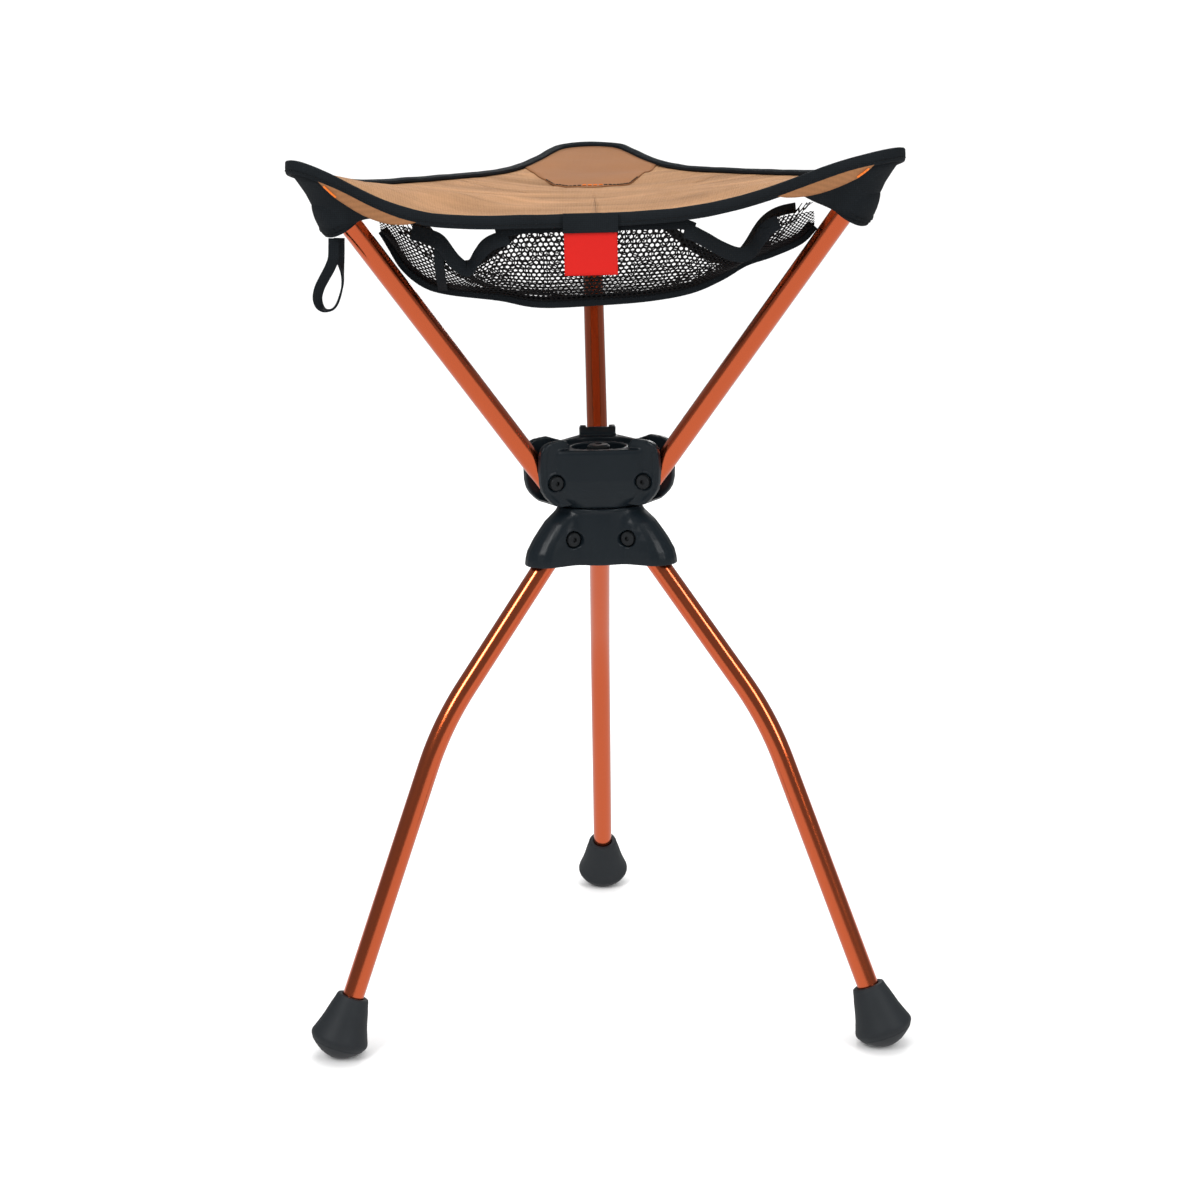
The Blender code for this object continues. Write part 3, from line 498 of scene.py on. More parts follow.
def make_carry_loop():
    path = smooth_path([point for point, _ in LOOP_ROUTE], 5)
    turns = smooth_path([(turn, 0.0, 0.0) for _, turn in LOOP_ROUTE], 5)
    wides = [polar(1.0, turn.x) for turn in turns]
    loop = piece("carry_loop_webbing", ribbon(path, wides, LOOP_WIDTH, LOOP_THICKNESS), "black_tape",
                 "arm_left")
    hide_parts("carry_loop")


# Frame.
def arm_line():
    """Middle line of an arm tube, in its hinge's frame."""
    lean = math.radians(ARM_LEAN)
    along = Vector((math.sin(lean), 0.0, math.cos(lean)))
    return [along * (-TUBE_TAIL + (ARM_LENGTH + TUBE_TAIL) * step / 2) for step in range(3)]


def leg_corner():
    """Where the two straight lines of a leg would cross, in its hinge's frame."""
    upper = math.radians(LEG_UPPER_LEAN)
    return Vector((math.sin(upper), 0.0, -math.cos(upper))) * LEG_BEND_DISTANCE


def leg_end():
    """Middle of the foot's widest ring, in the leg's hinge frame."""
    corner = leg_corner()
    pivot_z = JOINTS["leg_left_fold"]["pos_m"][2]
    drop = corner.z + pivot_z - FOOT_CENTRE_Z
    return corner + Vector((drop * math.tan(math.radians(LEG_LOWER_LEAN)), 0.0, -drop))


def leg_line():
    upper = math.radians(LEG_UPPER_LEAN)
    lower = math.radians(LEG_LOWER_LEAN)
    first = Vector((math.sin(upper), 0.0, -math.cos(upper)))
    second = Vector((math.sin(lower), 0.0, -math.cos(lower)))
    start = leg_corner() - first * LEG_BEND_RADIUS * math.tan((upper - lower) / 2.0)
    centre = start - Vector((math.cos(upper), 0.0, math.sin(upper))) * LEG_BEND_RADIUS
    path = [first * -TUBE_TAIL, first * 0.02]
    for step in range(13):
        lean = upper + (lower - upper) * step / 12
        path.append(centre + Vector((math.cos(lean), 0.0, math.sin(lean))) * LEG_BEND_RADIUS)
    path.append(leg_end() - second * 0.03)
    path.append(leg_end() + second * 0.0002)
    return path


def make_tubes():
    for side in ANGLES:
        for kind, line in (("arm", arm_line()), ("leg", leg_line())):
            shape = hollow_pipe(line, TUBE_RADIUS, TUBE_BORE)
            tube = piece("%s_metal_tube_%s" % (kind, side), shape, "anodised_orange",
                         "%s_%s" % (kind, side), hinge_place(kind, side))
            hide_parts("%s_tube_%s" % (kind, side))


# A foot's outline as (radius, height) from its widest ring: the room for the tube's end, then the outside.
FOOT_PROFILE = [
    (0.0, -0.0005), (0.0068, -0.0005), (0.0068, 0.0257), (0.0070, 0.0261), (0.0090, 0.0262),
    (0.0096, 0.0259), (0.0100, 0.0250), (0.0106, 0.0225), (0.0117, 0.0190), (0.0128, 0.0148),
    (0.0138, 0.0110), (0.0150, 0.0072), (0.0160, 0.0045), (0.0169, 0.0020), (0.0174, 0.0008),
    (0.0177, -0.0004), (0.0177, -0.0012), (0.0174, -0.0022), (0.0166, -0.0036),
    (0.0161, -0.0042), (0.0160, -0.0047), (0.0154, -0.0053), (0.0138, -0.0068),
    (0.0112, -0.0088), (0.0088, -0.0104), (0.0062, -0.0116), (0.0040, -0.0124), (0.0, -0.0130),
]


def make_feet():
    for side in ANGLES:
        shape = turned(FOOT_PROFILE, 64)
        lean = Matrix.Rotation(-math.radians(LEG_LOWER_LEAN), 4, "Y")
        shape.transform(Matrix.Translation(leg_end()) @ lean)
        floor = Vector((0.0, 0.0, -JOINTS["leg_left_fold"]["pos_m"][2] + 0.00005))
        everything = list(shape.verts) + list(shape.edges) + list(shape.faces)
        bmesh.ops.bisect_plane(shape, geom=everything, plane_co=floor, plane_no=(0.0, 0.0, -1.0),
                               clear_outer=True)
        bmesh.ops.holes_fill(shape, edges=[edge for edge in shape.edges if edge.is_boundary])
        foot = piece("rubber_foot_%s" % side, shape, "dark_rubber", "leg_%s" % side,
                     place=hinge_place("leg", side))
        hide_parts("foot_%s" % side)


# Hubs: the CAD solid with its ribs, rings and lips added, rounded by remeshing.
CHEEK_EDGE = ((0.0005, -0.0128), (0.0040, -0.0098), (0.0068, -0.0065), (0.0083, -0.0030), (0.0088, 0.0020),
              (0.0090, 0.0080), (0.0088, 0.0150), (0.0080, 0.0190), (0.0064, 0.0216), (0.0040, 0.0232))
CHEEK_FACE = 0.0112     # from a hinge's middle to the outside of an upper hub's cheek
HOOD_FACE = 0.0122      # and to the outside of a lower hub's hood
RIM_RADIUS = 0.0176
RIM_Z = 0.3553
LIP_RADIUS = 0.0256
LIP_Z = 0.3203
ALONG_PIN = Matrix.Rotation(math.radians(-90.0), 4, "X")    # lays a body about Z along a hinge's pin


def ring_path(radius, steps=40, height=0.0):
    return [polar(radius, 360.0 * step / steps, height) for step in range(steps)]


def screw_ring(hinge, reach, thickness):
    """A raised ring round a screw, that far out from the hinge's middle."""
    ring = pipe(ring_path(0.0058), thickness, 8, closed=True)
    ring.transform(hinge @ Matrix.Translation((0.0, reach, 0.0)) @ ALONG_PIN)
    return ring


def evaluated_mesh(item):
    depsgraph = bpy.context.evaluated_depsgraph_get()
    mesh = bpy.data.meshes.new_from_object(item.evaluated_get(depsgraph))
    item.modifiers.clear()
    return mesh


def merged_hub(name, node, body, extras, recess=None):
    """The CAD hub with a recess cut into it and small solids joined to it, rounded by a fine remesh."""
    shape = bmesh.new()
    shape.from_mesh(frame["nodes"][node].data)
    bmesh.ops.remove_doubles(shape, verts=shape.verts, dist=0.000005)
    hub = piece(name, shape, "hub_plastic", place=IN_FRAME)
    if recess:
        cutter = piece("recess", recess, "hub_plastic", place=IN_FRAME)
        cut = hub.modifiers.new("recess", "BOOLEAN")
        cut.operation = "DIFFERENCE"
        cut.object = cutter
        hub.data = evaluated_mesh(hub)
        bpy.data.objects.remove(cutter)
    shape = bmesh.new()
    shape.from_mesh(hub.data)
    for extra in extras:
        mesh = bpy.data.meshes.new("extra")
        extra.to_mesh(mesh)
        extra.free()
        shape.from_mesh(mesh)
        bpy.data.meshes.remove(mesh)
    shape.to_mesh(hub.data)
    shape.free()
    remesh = hub.modifiers.new("remesh", "REMESH")
    remesh.mode = "VOXEL"
    remesh.voxel_size = 0.0006
    smooth = hub.modifiers.new("smooth", "SMOOTH")
    smooth.factor = 0.5
    smooth.iterations = 3
    thin = hub.modifiers.new("thin", "DECIMATE")
    thin.ratio = 0.5
    hub.data = evaluated_mesh(hub)
    hub.data.shade_smooth()
    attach(hub, body)
    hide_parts(node)


def make_hubs():
    extras = []
    for side in ANGLES:
        hinge = hinge_place("arm", side)
        for face in (-1.0, 1.0):
            for inset in (0.0, 0.0022):
                path = [Vector((x - inset, face * CHEEK_FACE, z)) for x, z in CHEEK_EDGE]
                rib = pipe(smooth_path(path, 3), 0.00055, 8)
                rib.transform(hinge)
                extras.append(rib)
            extras.append(screw_ring(hinge, face * CHEEK_FACE, 0.0006))
    rim = pipe(ring_path(RIM_RADIUS, 64, RIM_Z), 0.0011, 10, closed=True)
    rim.transform(AXIS)
    extras.append(rim)
    recess = turned([(0.0, 0.3540), (0.0243, 0.3540), (0.0246, 0.3543), (0.0246, 0.40), (0.0, 0.40)], 72)
    recess.transform(AXIS)
    merged_hub("upper_hub_moulding", "seat_hub", "seat", extras, recess)

    extras = []
    for side in ANGLES:
        hinge = hinge_place("leg", side)
        for face in (-1.0, 1.0):
            extras.append(screw_ring(hinge, face * HOOD_FACE, 0.0007))
    lip = pipe(ring_path(LIP_RADIUS, 72, LIP_Z), 0.0009, 8, closed=True)
    lip.transform(AXIS)
    extras.append(lip)
    merged_hub("lower_hub_moulding", "leg_hub", "root", extras)


HEAD_RADIUS = 0.0044    # of a screw's head and of a barrel nut's flange
HEAD_RISE = 0.0027
HEAD_GAP = 0.0003       # between a hub's face and the head
SOCKET = ("hex", 0.0028)
SOCKET_DEPTH = 0.0014


def make_pins():
    """A screw and a barrel nut with hexagon sockets for each hinge."""
    for kind, cheek, body in (("arm", 0.0105, "seat"), ("leg", 0.0110, "root")):
        start = cheek + HEAD_GAP
        end = start + HEAD_RISE
        floor = end - SOCKET_DEPTH
        nut = [(0.0, -floor), (SOCKET, -floor), (SOCKET, -end), (0.0039, -end), (0.0043, -end + 0.0004),
               (HEAD_RADIUS, -end + 0.0009), (HEAD_RADIUS, -start), (0.0029, -start),
               (0.0029, cheek - 0.0006), (0.0023, cheek - 0.0006), (0.0023, -0.006), (0.0, -0.006)]
        screw = [(0.0, -0.005), (0.0020, -0.005), (0.0020, start), (HEAD_RADIUS, start),
                 (HEAD_RADIUS, end - 0.0009), (0.0043, end - 0.0004), (0.0039, end), (SOCKET, end),
                 (SOCKET, floor), (0.0, floor)]
        for side in ANGLES:
            place = hinge_place(kind, side) @ ALONG_PIN
            for name, profile, node in (("hex_screw", screw, "screw"), ("hex_barrel", nut, "barrel_nut")):
                item = piece("%s_%s_%s" % (kind, name, side), turned(profile, 36), "dark_steel", body,
                             place=place, sharp=30.0)
                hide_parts("%s_%s_%s" % (kind, node, side))


# Seat.
def tip_point(corner, turn):
    angle = ANGLES[corner]
    return polar(SEAT_TIP_RADIUS - SEAT_TIP_ROUND, angle) + polar(SEAT_TIP_ROUND, angle + turn)


def side_height(side, from_first, from_second):
    """Height of a side's edge at those distances from its two corners."""
    lowest, _, first_fall, second_fall = SEAT_SIDES[side][2:]
    share = math.exp(-(from_first / first_fall) ** 2) + math.exp(-(from_second / second_fall) ** 2)
    return lowest + (SEAT_TIP_Z - lowest) * min(1.0, share)


def seat_edge():
    """The seat's edge, anticlockwise from the left corner, as points at their heights."""
    points = []
    for side, (first, second, _, pull, _, _) in SEAT_SIDES.items():
        start = tip_point(first, SEAT_TIP_TURN)
        end = tip_point(second, -SEAT_TIP_TURN)
        inward = -Vector((start.x + end.x, start.y + end.y, 0.0)).normalized()
        round_length = SEAT_TIP_ROUND * math.radians(SEAT_TIP_TURN)
        length = (end - start).length
        for step in range(SECTOR):
            if step < TIP_STEPS:
                share = step / TIP_STEPS
                point = tip_point(first, SEAT_TIP_TURN * share)
                travel = round_length * share
            elif step < TIP_STEPS + SIDE_STEPS:
                share = (step - TIP_STEPS) / SIDE_STEPS
                point = start.lerp(end, share) + inward * pull * 4.0 * share * (1.0 - share)
                travel = round_length + length * share
            else:
                share = (step - TIP_STEPS - SIDE_STEPS) / TIP_STEPS
                point = tip_point(second, SEAT_TIP_TURN * (share - 1.0))
                travel = round_length + length + round_length * share
            point.z = side_height(side, travel, 2.0 * round_length + length - travel)
            points.append(point)
    return points


EDGE = seat_edge()
CORNERS = ("left", "right", "back")


def sector_edge(corner):
    """Edge points from the middle of the side before a corner to the middle of the side after it."""
    first = CORNERS.index(corner) * SECTOR - SECTOR // 2
    return [EDGE[(first + step) % len(EDGE)] for step in range(SECTOR + 1)]


def wrinkle(x, y):
    """Shallow folds that run from the seat's left to its right."""
    folds = noise.noise((x * 7.0 + y * 5.0, y * 46.0, 3.0)) + 0.5 * noise.noise((x * 18.0, y * 95.0, 7.0))
    return 0.0022 * folds


def sheet_point(edge_point, share, lift=0.0):
    """The seat sheet at a share of the way from the hub axis to an edge point."""
    x = edge_point.x * share
    y = edge_point.y * share
    z = SEAT_MIDDLE_Z + (edge_point.z - SEAT_MIDDLE_Z) * share ** 2
    calm = min(1.0, (1.0 - share) * 8.0)
    return Vector((x, y, z + lift + wrinkle(x, y) * calm))


def grid(rows):
    """Faces between rows of points."""
    shape = bmesh.new()
    lines = [[shape.verts.new(point) for point in row] for row in rows]
    for one, two in zip(lines, lines[1:]):
        for index in range(len(one) - 1):
            shape.faces.new((one[index], one[index + 1], two[index + 1], two[index]))
    return shape


def outward(along):
    """The level direction away from the hub axis, for a step anticlockwise along the seat's edge."""
    return Vector((along.y, -along.x, 0.0)).normalized()


def thicken(item, thickness):
    solid = item.modifiers.new("thickness", "SOLIDIFY")
    solid.thickness = thickness
    solid.offset = 0.0


def blend_to_arm(item):
    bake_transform(item)


def corner_pieces(name, shape, look, thickness=None):
    """The shape as one piece for each corner's third of the seat."""
    made = []
    for corner in CORNERS:
        part = shape.copy()
        gone = []
        for face in part.faces:
            middle = face.calc_center_median()
            turn = math.degrees(math.atan2(middle.y, middle.x))
            nearest = min(CORNERS, key=lambda other: abs((turn - ANGLES[other] + 180.0) % 360.0 - 180.0))
            if nearest != corner:
                gone.append(face)
        if len(gone) == len(part.faces):
            part.free()
            continue
        bmesh.ops.delete(part, geom=gone, context="FACES")
        if thickness is None:
            bmesh.ops.holes_fill(part, edges=[edge for edge in part.edges if edge.is_boundary])
        item = piece("%s_%s" % (name, corner), part, look)
        if thickness is not None:
            thicken(item, thickness)
        blend_to_arm(item)
        made.append(item)
    shape.free()
    return made


PANEL_APEX = 0.055      # from the axis to the nearest point of a corner panel
PANEL_END = 0.134       # along the arm where its arc meets the seat's edge
PANEL_HALF = 0.046


def panel_start(point, corner):
    """Share of the way to an edge point where the corner panel's arc crosses it, or None."""
    arm = polar(1.0, ANGLES[corner])
    along = point.x * arm.x + point.y * arm.y
    across = point.y * arm.x - point.x * arm.y
    curve = (PANEL_END - PANEL_APEX) / PANEL_HALF ** 2 * across ** 2
    if curve < 1e-7:
        return PANEL_APEX / along
    inner = along ** 2 - 4.0 * curve * PANEL_APEX
    if inner < 0.0:
        return None
    share = (along - math.sqrt(inner)) / (2.0 * curve)
    return share if 0.0 < share < 0.97 else None


def stitches(name, path, spacing, length, radius, look, normal=Vector((0.0, 0.0, 1.0)), lift=0.0003):
    """Short raised stitches along a path."""
    shape = bmesh.new()
    count = max(2, int(path_length(path) / spacing))
    for step in range(count):
        middle = at_share(path, (step + 0.5) / count)
        ahead = at_share(path, min(1.0, (step + 0.6) / count))
        along = (ahead - middle).normalized() * length / 2.0
        line = [middle - along, middle - along * 0.8 + normal * lift, middle + along * 0.8 + normal * lift,
                middle + along]
        pipe(line, radius, 6, shape=shape)
    return piece(name, shape, look)


SHEET_RINGS = 44
PANEL_RINGS = 16
PANEL_EDGE = 0.985      # share of the way to the seat's edge where the corner panel ends


def make_sheet_sector(corner):
    edge = sector_edge(corner)
    rows = [[sheet_point(point, max(0.001, step / SHEET_RINGS)) for point in edge]
            for step in range(SHEET_RINGS + 1)]
    sheet = piece("seat_canvas_%s" % corner, grid(rows), "brown_canvas")
    thicken(sheet, 0.0011)
    blend_to_arm(sheet)
    if corner == CORNERS[0]:
        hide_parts("seat_panel")


def make_corner_panel(corner):
    """A second layer of canvas at a corner, with stitches along its arc."""
    rays = [(point, panel_start(point, corner)) for point in sector_edge(corner)]
    rays = [(point, share) for point, share in rays if share]
    rows = [[sheet_point(point, share + (PANEL_EDGE - share) * step / PANEL_RINGS, 0.0010)
             for point, share in rays] for step in range(PANEL_RINGS + 1)]
    panel = piece("corner_canvas_%s" % corner, grid(rows), "panel_canvas")
    thicken(panel, 0.0008)
    blend_to_arm(panel)

    arc = [sheet_point(point, share + 0.012, 0.0015) for point, share in rays]
    seam = stitches("panel_stitches_%s" % corner, arc, 0.0034, 0.0024, 0.00034, "dark_thread")
    blend_to_arm(seam)
    middle = len(arc) // 2
    near = [point + Vector((0.0, 0.0, 0.0002)) for point in arc[middle - 9:middle + 10]]
    tack = stitches("panel_bright_stitches_%s" % corner, near, 0.0030, 0.0023, 0.00042, "orange_thread")
    blend_to_arm(tack)


# Section of the edge tape, outward and up from the seat's edge.
TAPE_SECTION = ((0.0004, -0.0038), (0.0018, -0.0039), (0.0030, -0.0036), (0.0034, -0.0028), (0.0036, 0.0),
                (0.0034, 0.0030), (0.0028, 0.0037), (0.0016, 0.0038), (0.0004, 0.0036),
                (-0.0014, 0.0026), (-0.0016, 0.0012), (0.0002, 0.0))


def make_edge_tape(corner):
    edge = sector_edge(corner)
    rings = []
    seam_line = []
    for index, point in enumerate(edge):
        away = outward(edge[min(len(edge) - 1, index + 1)] - edge[max(0, index - 1)])
        wave = 0.0003 * noise.noise((point.x * 60.0, point.y * 60.0, 1.0))
        rings.append([point + away * (reach + wave) + Vector((0.0, 0.0, lift + wave))
                      for reach, lift in TAPE_SECTION])
        seam_line.append(point + away * (0.0036 + wave) + Vector((0.0, 0.0, -0.0016)))
    band = piece("edge_tape_%s" % corner, skin(bmesh.new(), rings), "black_tape")
    blend_to_arm(band)
    if corner == CORNERS[0]:
        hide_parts("edge_binding")
    seam = stitches("edge_stitches_%s" % corner, seam_line, 0.0032, 0.0022, 0.00026, "dark_thread", lift=0.0)
    blend_to_arm(seam)


def make_seat():
    for corner in CORNERS:
        make_sheet_sector(corner)
    make_corner_panel("back")
    for corner in CORNERS:
        make_edge_tape(corner)


FLAP_FIRST = 7      # points of the edge from a corner to the flap's two ends
FLAP_LAST = 19
FLAP_DEPTH = 0.0072
FLAP_TOP = 0.0030   # below and outward of the seat's edge


def make_front_flaps():
    """Canvas lenses that show between the edge tape and the pockets at the two front corners."""
    for corner, way in (("left", 1), ("right", -1)):
        first = CORNERS.index(corner) * SECTOR
        rows = [[] for _ in range(5)]
        for step in range(FLAP_FIRST, FLAP_LAST + 1):
            share = (step - FLAP_FIRST) / (FLAP_LAST - FLAP_FIRST)
            point = EDGE[(first + way * step) % len(EDGE)]
            before = EDGE[(first + way * (step - 1)) % len(EDGE)]
            away = outward((point - before) * way)
            depth = FLAP_DEPTH * math.sin(math.pi * share) ** 0.8
            for index, row in enumerate(rows):
                part = depth * index / 4
                row.append(point + away * (FLAP_TOP - 0.25 * part) + Vector((0.0, 0.0, -FLAP_TOP - part)))
        flap = piece("front_flap_%s" % corner, grid(rows), "panel_canvas")
        thicken(flap, 0.0007)
        blend_to_arm(flap)
        line = [point + Vector((0.0, -0.0010, 0.0008)) for point in rows[4][1:4]]
        tack = stitches("flap_tack_%s" % corner, line, 0.0016, 0.0016, 0.00055, "orange_thread",
                        normal=Vector((0.0, -1.0, 0.0)))
        blend_to_arm(tack)


# Corner pockets. Sections along the arm, as (place, middle, half depth, half width).
POCKET_SECTIONS = (
    (0.2050, 0.0032, 0.0118, 0.0155),
    (0.2085, 0.0031, 0.0117, 0.0156),
    (0.2120, 0.0030, 0.0114, 0.0155),
    (0.2155, 0.0027, 0.0110, 0.0149),
    (0.2185, 0.0024, 0.0104, 0.0140),
    (0.2210, 0.0023, 0.0096, 0.0126),
    (0.2230, 0.0024, 0.0086, 0.0110),
    (0.2245, 0.0026, 0.0069, 0.0090),
    (0.2255, 0.0030, 0.0046, 0.0062),
)


def pocket_ring(section, inset):
    place, middle, half_depth, half_width = section
    ring = []
    for step in range(48):
        turn = 2.0 * math.pi * step / 48
        x = middle + (half_depth - inset) * math.cos(turn)
        y = (half_width - inset) * math.copysign(abs(math.sin(turn)) ** 0.85, math.sin(turn))
        ring.append(Vector((x, y, place)))
    return ring


SKIRT_REACH = 17        # points of the edge, each way from a corner, that the pocket's skirt hangs from
SKIRT_TURN = 118.0      # how far round the pocket's mouth the skirt reaches, each way


def make_pocket_skirt(side, place):
    """Tape cloth from the seat's edge down to the corner pocket."""
    corner = CORNERS.index(side) * SECTOR
    mouth, middle, half_depth, half_width = POCKET_SECTIONS[0]
    lines = []
    for step in range(-SKIRT_REACH, SKIRT_REACH + 1):
        share = step / SKIRT_REACH
        edge_point = EDGE[(corner + step) % len(EDGE)]
        toward_axis = -Vector((edge_point.x, edge_point.y, 0.0)).normalized()
        top = AXIS @ (edge_point + Vector((0.0, 0.0, -0.0030)))
        turn = math.radians(SKIRT_TURN * share)
        line = []
        for fraction in (0.0, 0.15, 0.35, 0.6, 0.85, 1.0):
            x = middle + (half_depth + 0.0004) * math.cos(turn)
            y = (half_width + 0.0004) * math.sin(turn)
            low = place @ Vector((x, y, mouth + 0.0045 * (1.0 - abs(share))))
            point = top.lerp(low, fraction)
            point += toward_axis * 0.0030 * math.sin(math.pi * fraction)
            line.append(point)
        lines.append(line)
    skirt = piece("pocket_skirt_%s" % side, grid(lines), "black_tape", "arm_%s" % side, IN_FRAME)
    thicken(skirt, 0.0010)


def make_corner_pockets():
    tilt = Matrix.Rotation(math.radians(ARM_LEAN), 4, "Y")
    for side in ANGLES:
        rings = [pocket_ring(section, 0.0013) for section in reversed(POCKET_SECTIONS[:7])]
        rings[0] = [point + Vector((0.0, 0.0, -0.0004)) for point in rings[0]]
        rings += [pocket_ring(section, 0.0) for section in POCKET_SECTIONS]
        place = hinge_place("arm", side) @ tilt
        pocket = piece("tape_pocket_%s" % side, skin(bmesh.new(), rings), "black_tape", "arm_%s" % side,
                       place)
        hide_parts("corner_pocket_%s" % side)
        make_pocket_skirt(side, place)
        hem = bmesh.new()
        for row in (0.2070, 0.2095):
            ring = pocket_ring((row, 0.0032, 0.0119, 0.0157), 0.0)
            for index in range(0, 48, 2):
                pipe([ring[index], ring[(index + 1) % 48]], 0.00028, 6, shape=hem)
        piece("pocket_stitches_%s" % side, hem, "dark_thread", "arm_%s" % side, place)
        tack = bmesh.new()
        for step in range(7):
            z = 0.2060 + 0.0006 * step
            pipe([Vector((-0.0080, -0.0040, z)), Vector((-0.0091, 0.0, z)), Vector((-0.0080, 0.0040, z))],
                 0.0004, 6, shape=tack)
        piece("pocket_tack_%s" % side, tack, "orange_thread", "arm_%s" % side, place)


# Storage pocket: a knitted net with tape along its hem and its bottom edge, both from the stool's axis.
HEM = ((-0.123, -0.070, 0.499), (-0.113, -0.078, 0.4975), (-0.104, -0.085, 0.496), (-0.095, -0.087, 0.4935),
       (-0.088, -0.088, 0.490), (-0.080, -0.085, 0.479), (-0.073, -0.082, 0.4745), (-0.067, -0.088, 0.482),
       (-0.060, -0.091, 0.489), (-0.047, -0.093, 0.493), (-0.032, -0.094, 0.494), (0.0, -0.0942, 0.4945),
       (0.032, -0.094, 0.4945), (0.049, -0.093, 0.494), (0.060, -0.088, 0.489), (0.070, -0.083, 0.483),
       (0.080, -0.080, 0.479), (0.087, -0.081, 0.481), (0.092, -0.085, 0.488), (0.096, -0.086, 0.494),
       (0.104, -0.084, 0.4975), (0.114, -0.077, 0.499), (0.124, -0.070, 0.500))
BOTTOM = ((-0.122, -0.064, 0.494), (-0.117, -0.062, 0.485), (-0.110, -0.061, 0.473), (-0.099, -0.060, 0.4635),
          (-0.085, -0.060, 0.459), (-0.056, -0.060, 0.455), (-0.033, -0.060, 0.4505), (0.002, -0.060, 0.4512),
          (0.031, -0.060, 0.453), (0.054, -0.061, 0.457), (0.071, -0.062, 0.464), (0.085, -0.063, 0.472),
          (0.100, -0.065, 0.477), (0.116, -0.067, 0.484), (0.124, -0.068, 0.492))


def net(place_at, width, height, pitch, strand):
    """A net of hexagonal cells over a patch, where place_at gives the point at (along, down)."""
    shape = bmesh.new()
    known = {}

    def new_vert(x, y):
        return shape.verts.new(place_at(min(max(x, 0.0), width), min(max(y, 0.0), height)))

    def shared_vert(x, y):
        key = (round(x / pitch * 50), round(y / pitch * 50))
        if key not in known:
            known[key] = new_vert(x, y)
        return known[key]

    radius = pitch / math.sqrt(3.0)
    shrink = 1.0 - strand / pitch
    rows = int(height / (radius * 1.5)) + 2
    columns = int(width / pitch) + 2
    for row in range(rows):
        for column in range(columns):
            cx = (column + 0.5 * (row % 2)) * pitch
            cy = row * radius * 1.5
            if cx > width + pitch * 0.3 or cy > height + radius * 0.4:
                continue
            outer = []
            inner = []
            for step in range(6):
                turn = math.radians(60.0 * step + 30.0)
                outer.append(shared_vert(cx + radius * math.cos(turn), cy + radius * math.sin(turn)))
                inner.append(new_vert(cx + radius * shrink * math.cos(turn),
                                      cy + radius * shrink * math.sin(turn)))
            for step in range(6):
                after = (step + 1) % 6
                corners = (outer[step], outer[after], inner[after], inner[step])
                if len(set(corners)) == 4:
                    shape.faces.new(corners)
    bmesh.ops.dissolve_degenerate(shape, dist=0.00002, edges=shape.edges)
    loose = [vert for vert in shape.verts if not vert.link_faces]
    bmesh.ops.delete(shape, geom=loose, context="VERTS")
    return shape


FRONT_HEIGHT = 0.046        # of the front net's flat pattern
POCKET_FLOOR = 0.4497
RIM_LOW = 0.4660            # the back net's rim half way between two corners
RIM_HIGH = 0.5050           # and at a corner
BACK_WIDTH = 0.28
BACK_DEPTH = 0.215


def edge_at(angle):
    """The seat's edge in that direction from the hub axis."""
    want = (angle - ANGLES["left"] + 0.01) % 360.0
    after = max(1, bisect.bisect_right(EDGE_TURNS, want))
    following = EDGE_TURNS[after] if after < len(EDGE) else 360.01
    share = (want - EDGE_TURNS[after - 1]) / (following - EDGE_TURNS[after - 1])
    return EDGE[after - 1].lerp(EDGE[after % len(EDGE)], share)


EDGE_TURNS = [(math.degrees(math.atan2(point.y, point.x)) - ANGLES["left"] + 0.01) % 360.0
              for point in EDGE]
EDGE_BY_DEGREE = [edge_at(float(angle)) for angle in range(360)]


def corner_closeness(angle):
    """1 towards a corner and 0 half way between two."""
    return 0.5 - 0.5 * math.cos(math.radians(3.0 * (angle - 30.0)))


def back_net_point(x, y):
    """How far out towards its rim a place on the back net is, as a share, and the net's height there."""
    angle = math.degrees(math.atan2(y, x)) % 360.0
    low = int(angle) % 360
    point = EDGE_BY_DEGREE[low].lerp(EDGE_BY_DEGREE[(low + 1) % 360], angle - int(angle))
    closeness = corner_closeness(angle)
    reach = 0.945 - 0.22 * closeness
    share = math.hypot(x, y) / (math.hypot(point.x, point.y) * reach)
    under_seat = SEAT_MIDDLE_Z + (point.z - SEAT_MIDDLE_Z) * reach ** 2 - 0.0030
    rim = min(RIM_LOW + (RIM_HIGH - RIM_LOW) * closeness, under_seat)
    return share, POCKET_FLOOR + (rim - POCKET_FLOOR) * min(1.0, share) ** (6.0 - 3.0 * closeness)


def make_front_net(hem, bottom):
    width = path_length(bottom)

    def place_at(x, y):
        share = x / width
        down = y / FRONT_HEIGHT
        point = at_share(hem, share).lerp(at_share(bottom, share), down)
        sag = math.sin(math.pi * down) * 0.004
        point += Vector((0.0, -sag, -sag * 0.6))
        point.y += 0.0006 * noise.noise(point * 45.0)
        return point

    shape = net(place_at, width, FRONT_HEIGHT, pitch=0.0029, strand=0.0009)
    panels = corner_pieces("front_net", shape, "black_mesh", 0.0005)
    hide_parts("mesh_pocket")


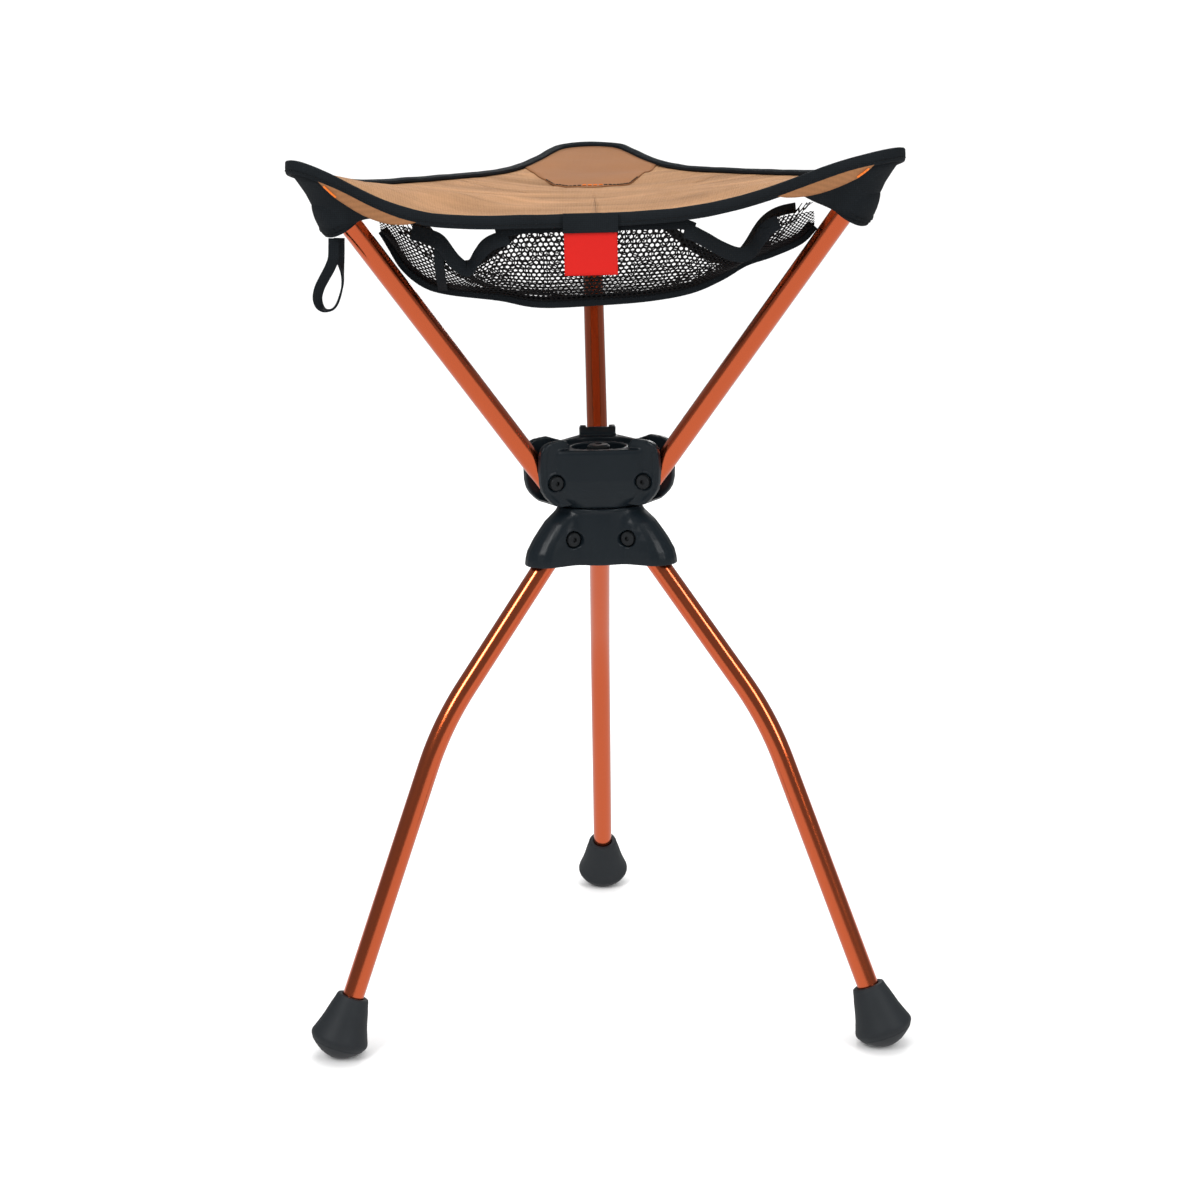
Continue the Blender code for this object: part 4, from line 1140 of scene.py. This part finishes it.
def make_back_net():
    """The rest of the pocket: its floor, and its sides up to a rim that sags between the corners."""
    def place_at(x, y):
        x -= BACK_WIDTH / 2.0
        y = 0.145 - y
        z = back_net_point(x, y)[1]
        return Vector((x, y, z + 0.0008 * noise.noise((x * 40.0, y * 40.0, 0.0))))

    rest = net(place_at, BACK_WIDTH, BACK_DEPTH, pitch=0.0046, strand=0.0007)
    gone = []
    for face in rest.faces:
        middle = face.calc_center_median()
        in_front = middle.y < -0.058 and abs(middle.x) < 0.120
        if in_front or back_net_point(middle.x, middle.y)[0] > 1.0:
            gone.append(face)
    bmesh.ops.delete(rest, geom=gone, context="FACES")
    corner_pieces("back_net", rest, "black_mesh", 0.0003)

    rim = []
    for angle in range(-22, 203, 3):
        point = EDGE_BY_DEGREE[angle % 360].lerp(EDGE_BY_DEGREE[(angle + 1) % 360], 0.5)
        turn = math.degrees(math.atan2(point.y, point.x)) % 360.0
        reach = (0.945 - 0.22 * corner_closeness(turn)) * 0.985
        x = point.x * reach
        y = point.y * reach
        rim.append(Vector((x, y, back_net_point(x, y)[1])))
    make_tape("rim_tape", smooth_path(rim, 2), Vector((0.0, 0.0, 1.0)), 0.0060, 0.0010)


def make_tape(name, path, wide, width, thickness):
    corner_pieces(name, ribbon(path, [wide] * len(path), width, thickness), "black_tape")


def make_storage_pocket():
    hem = smooth_path(HEM, 6)
    bottom = smooth_path(BOTTOM, 6)
    make_front_net(hem, bottom)
    make_back_net()
    up = Vector((0.0, 0.15, 1.0)).normalized()
    make_tape("bottom_tape", bottom, up, 0.0066, 0.0011)
    for low, high in ((12, 54), (78, 120)):
        notch = [point + Vector((0.0, -0.0006, -0.0022)) for point in hem[low:high]]
        make_tape("notch_tape", notch, up, 0.0086, 0.0012)
    middle = [point + Vector((0.0, 0.0, 0.0012)) for point in hem[50:82]]
    make_tape("middle_tape", middle, up, 0.0060, 0.0010)
    for points in (((-0.0885, -0.0885, 0.490), (-0.0890, -0.0860, 0.478), (-0.0890, -0.0760, 0.467),
                    (-0.0885, -0.0640, 0.459)),
                   ((0.0945, -0.0870, 0.492), (0.0950, -0.0820, 0.486), (0.0955, -0.0680, 0.477))):
        make_tape("side_tape", smooth_path(points, 6), Vector((1.0, 0.0, 0.0)), 0.0056, 0.0010)


# Tag.
def make_tag():
    low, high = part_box("label_tag")
    width = high[0] - low[0]
    tall = high[2] - low[2]
    rows = []
    for step in range(15):
        row = []
        for column in range(17):
            bend = 0.0004 * math.sin(math.pi * column / 16) * step / 14
            row.append(Vector((low[0] + width * column / 16, (low[1] + high[1]) / 2.0 - bend + 0.0002,
                               high[2] - tall * step / 14)))
        rows.append(row)
    tag = piece("red_tag", grid(rows), "red_label", "seat", place=IN_FRAME)
    thicken(tag, 0.0008)
    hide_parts("label_tag")

    low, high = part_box("tag_tab")
    y = (low[1] + high[1]) / 2.0
    z = (low[2] + high[2]) / 2.0
    path = [Vector((low[0] + (high[0] - low[0]) * step / 12, y, z)) for step in range(13)]
    band = ribbon(path, [Vector((0.0, 0.0, 1.0))] * len(path), high[2] - low[2], high[1] - low[1])
    tab = piece("tape_tab", band, "black_tape", "seat", place=IN_FRAME)
    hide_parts("tag_tab")


def dress_cad_nodes():
    for entry in frame["record"]["subparts"]:
        node = frame["nodes"].get(entry["node"])
        if node is not None:
            for material_slot in node.material_slots:
                material_slot.material = SURFACES[entry["material_slot"]]


make_surfaces()
make_camera()
make_carry_loop()
make_studio()
dress_cad_nodes()
make_tubes()
make_feet()
make_hubs()
make_pins()
make_seat()
make_front_flaps()
make_corner_pockets()
make_storage_pocket()
make_tag()
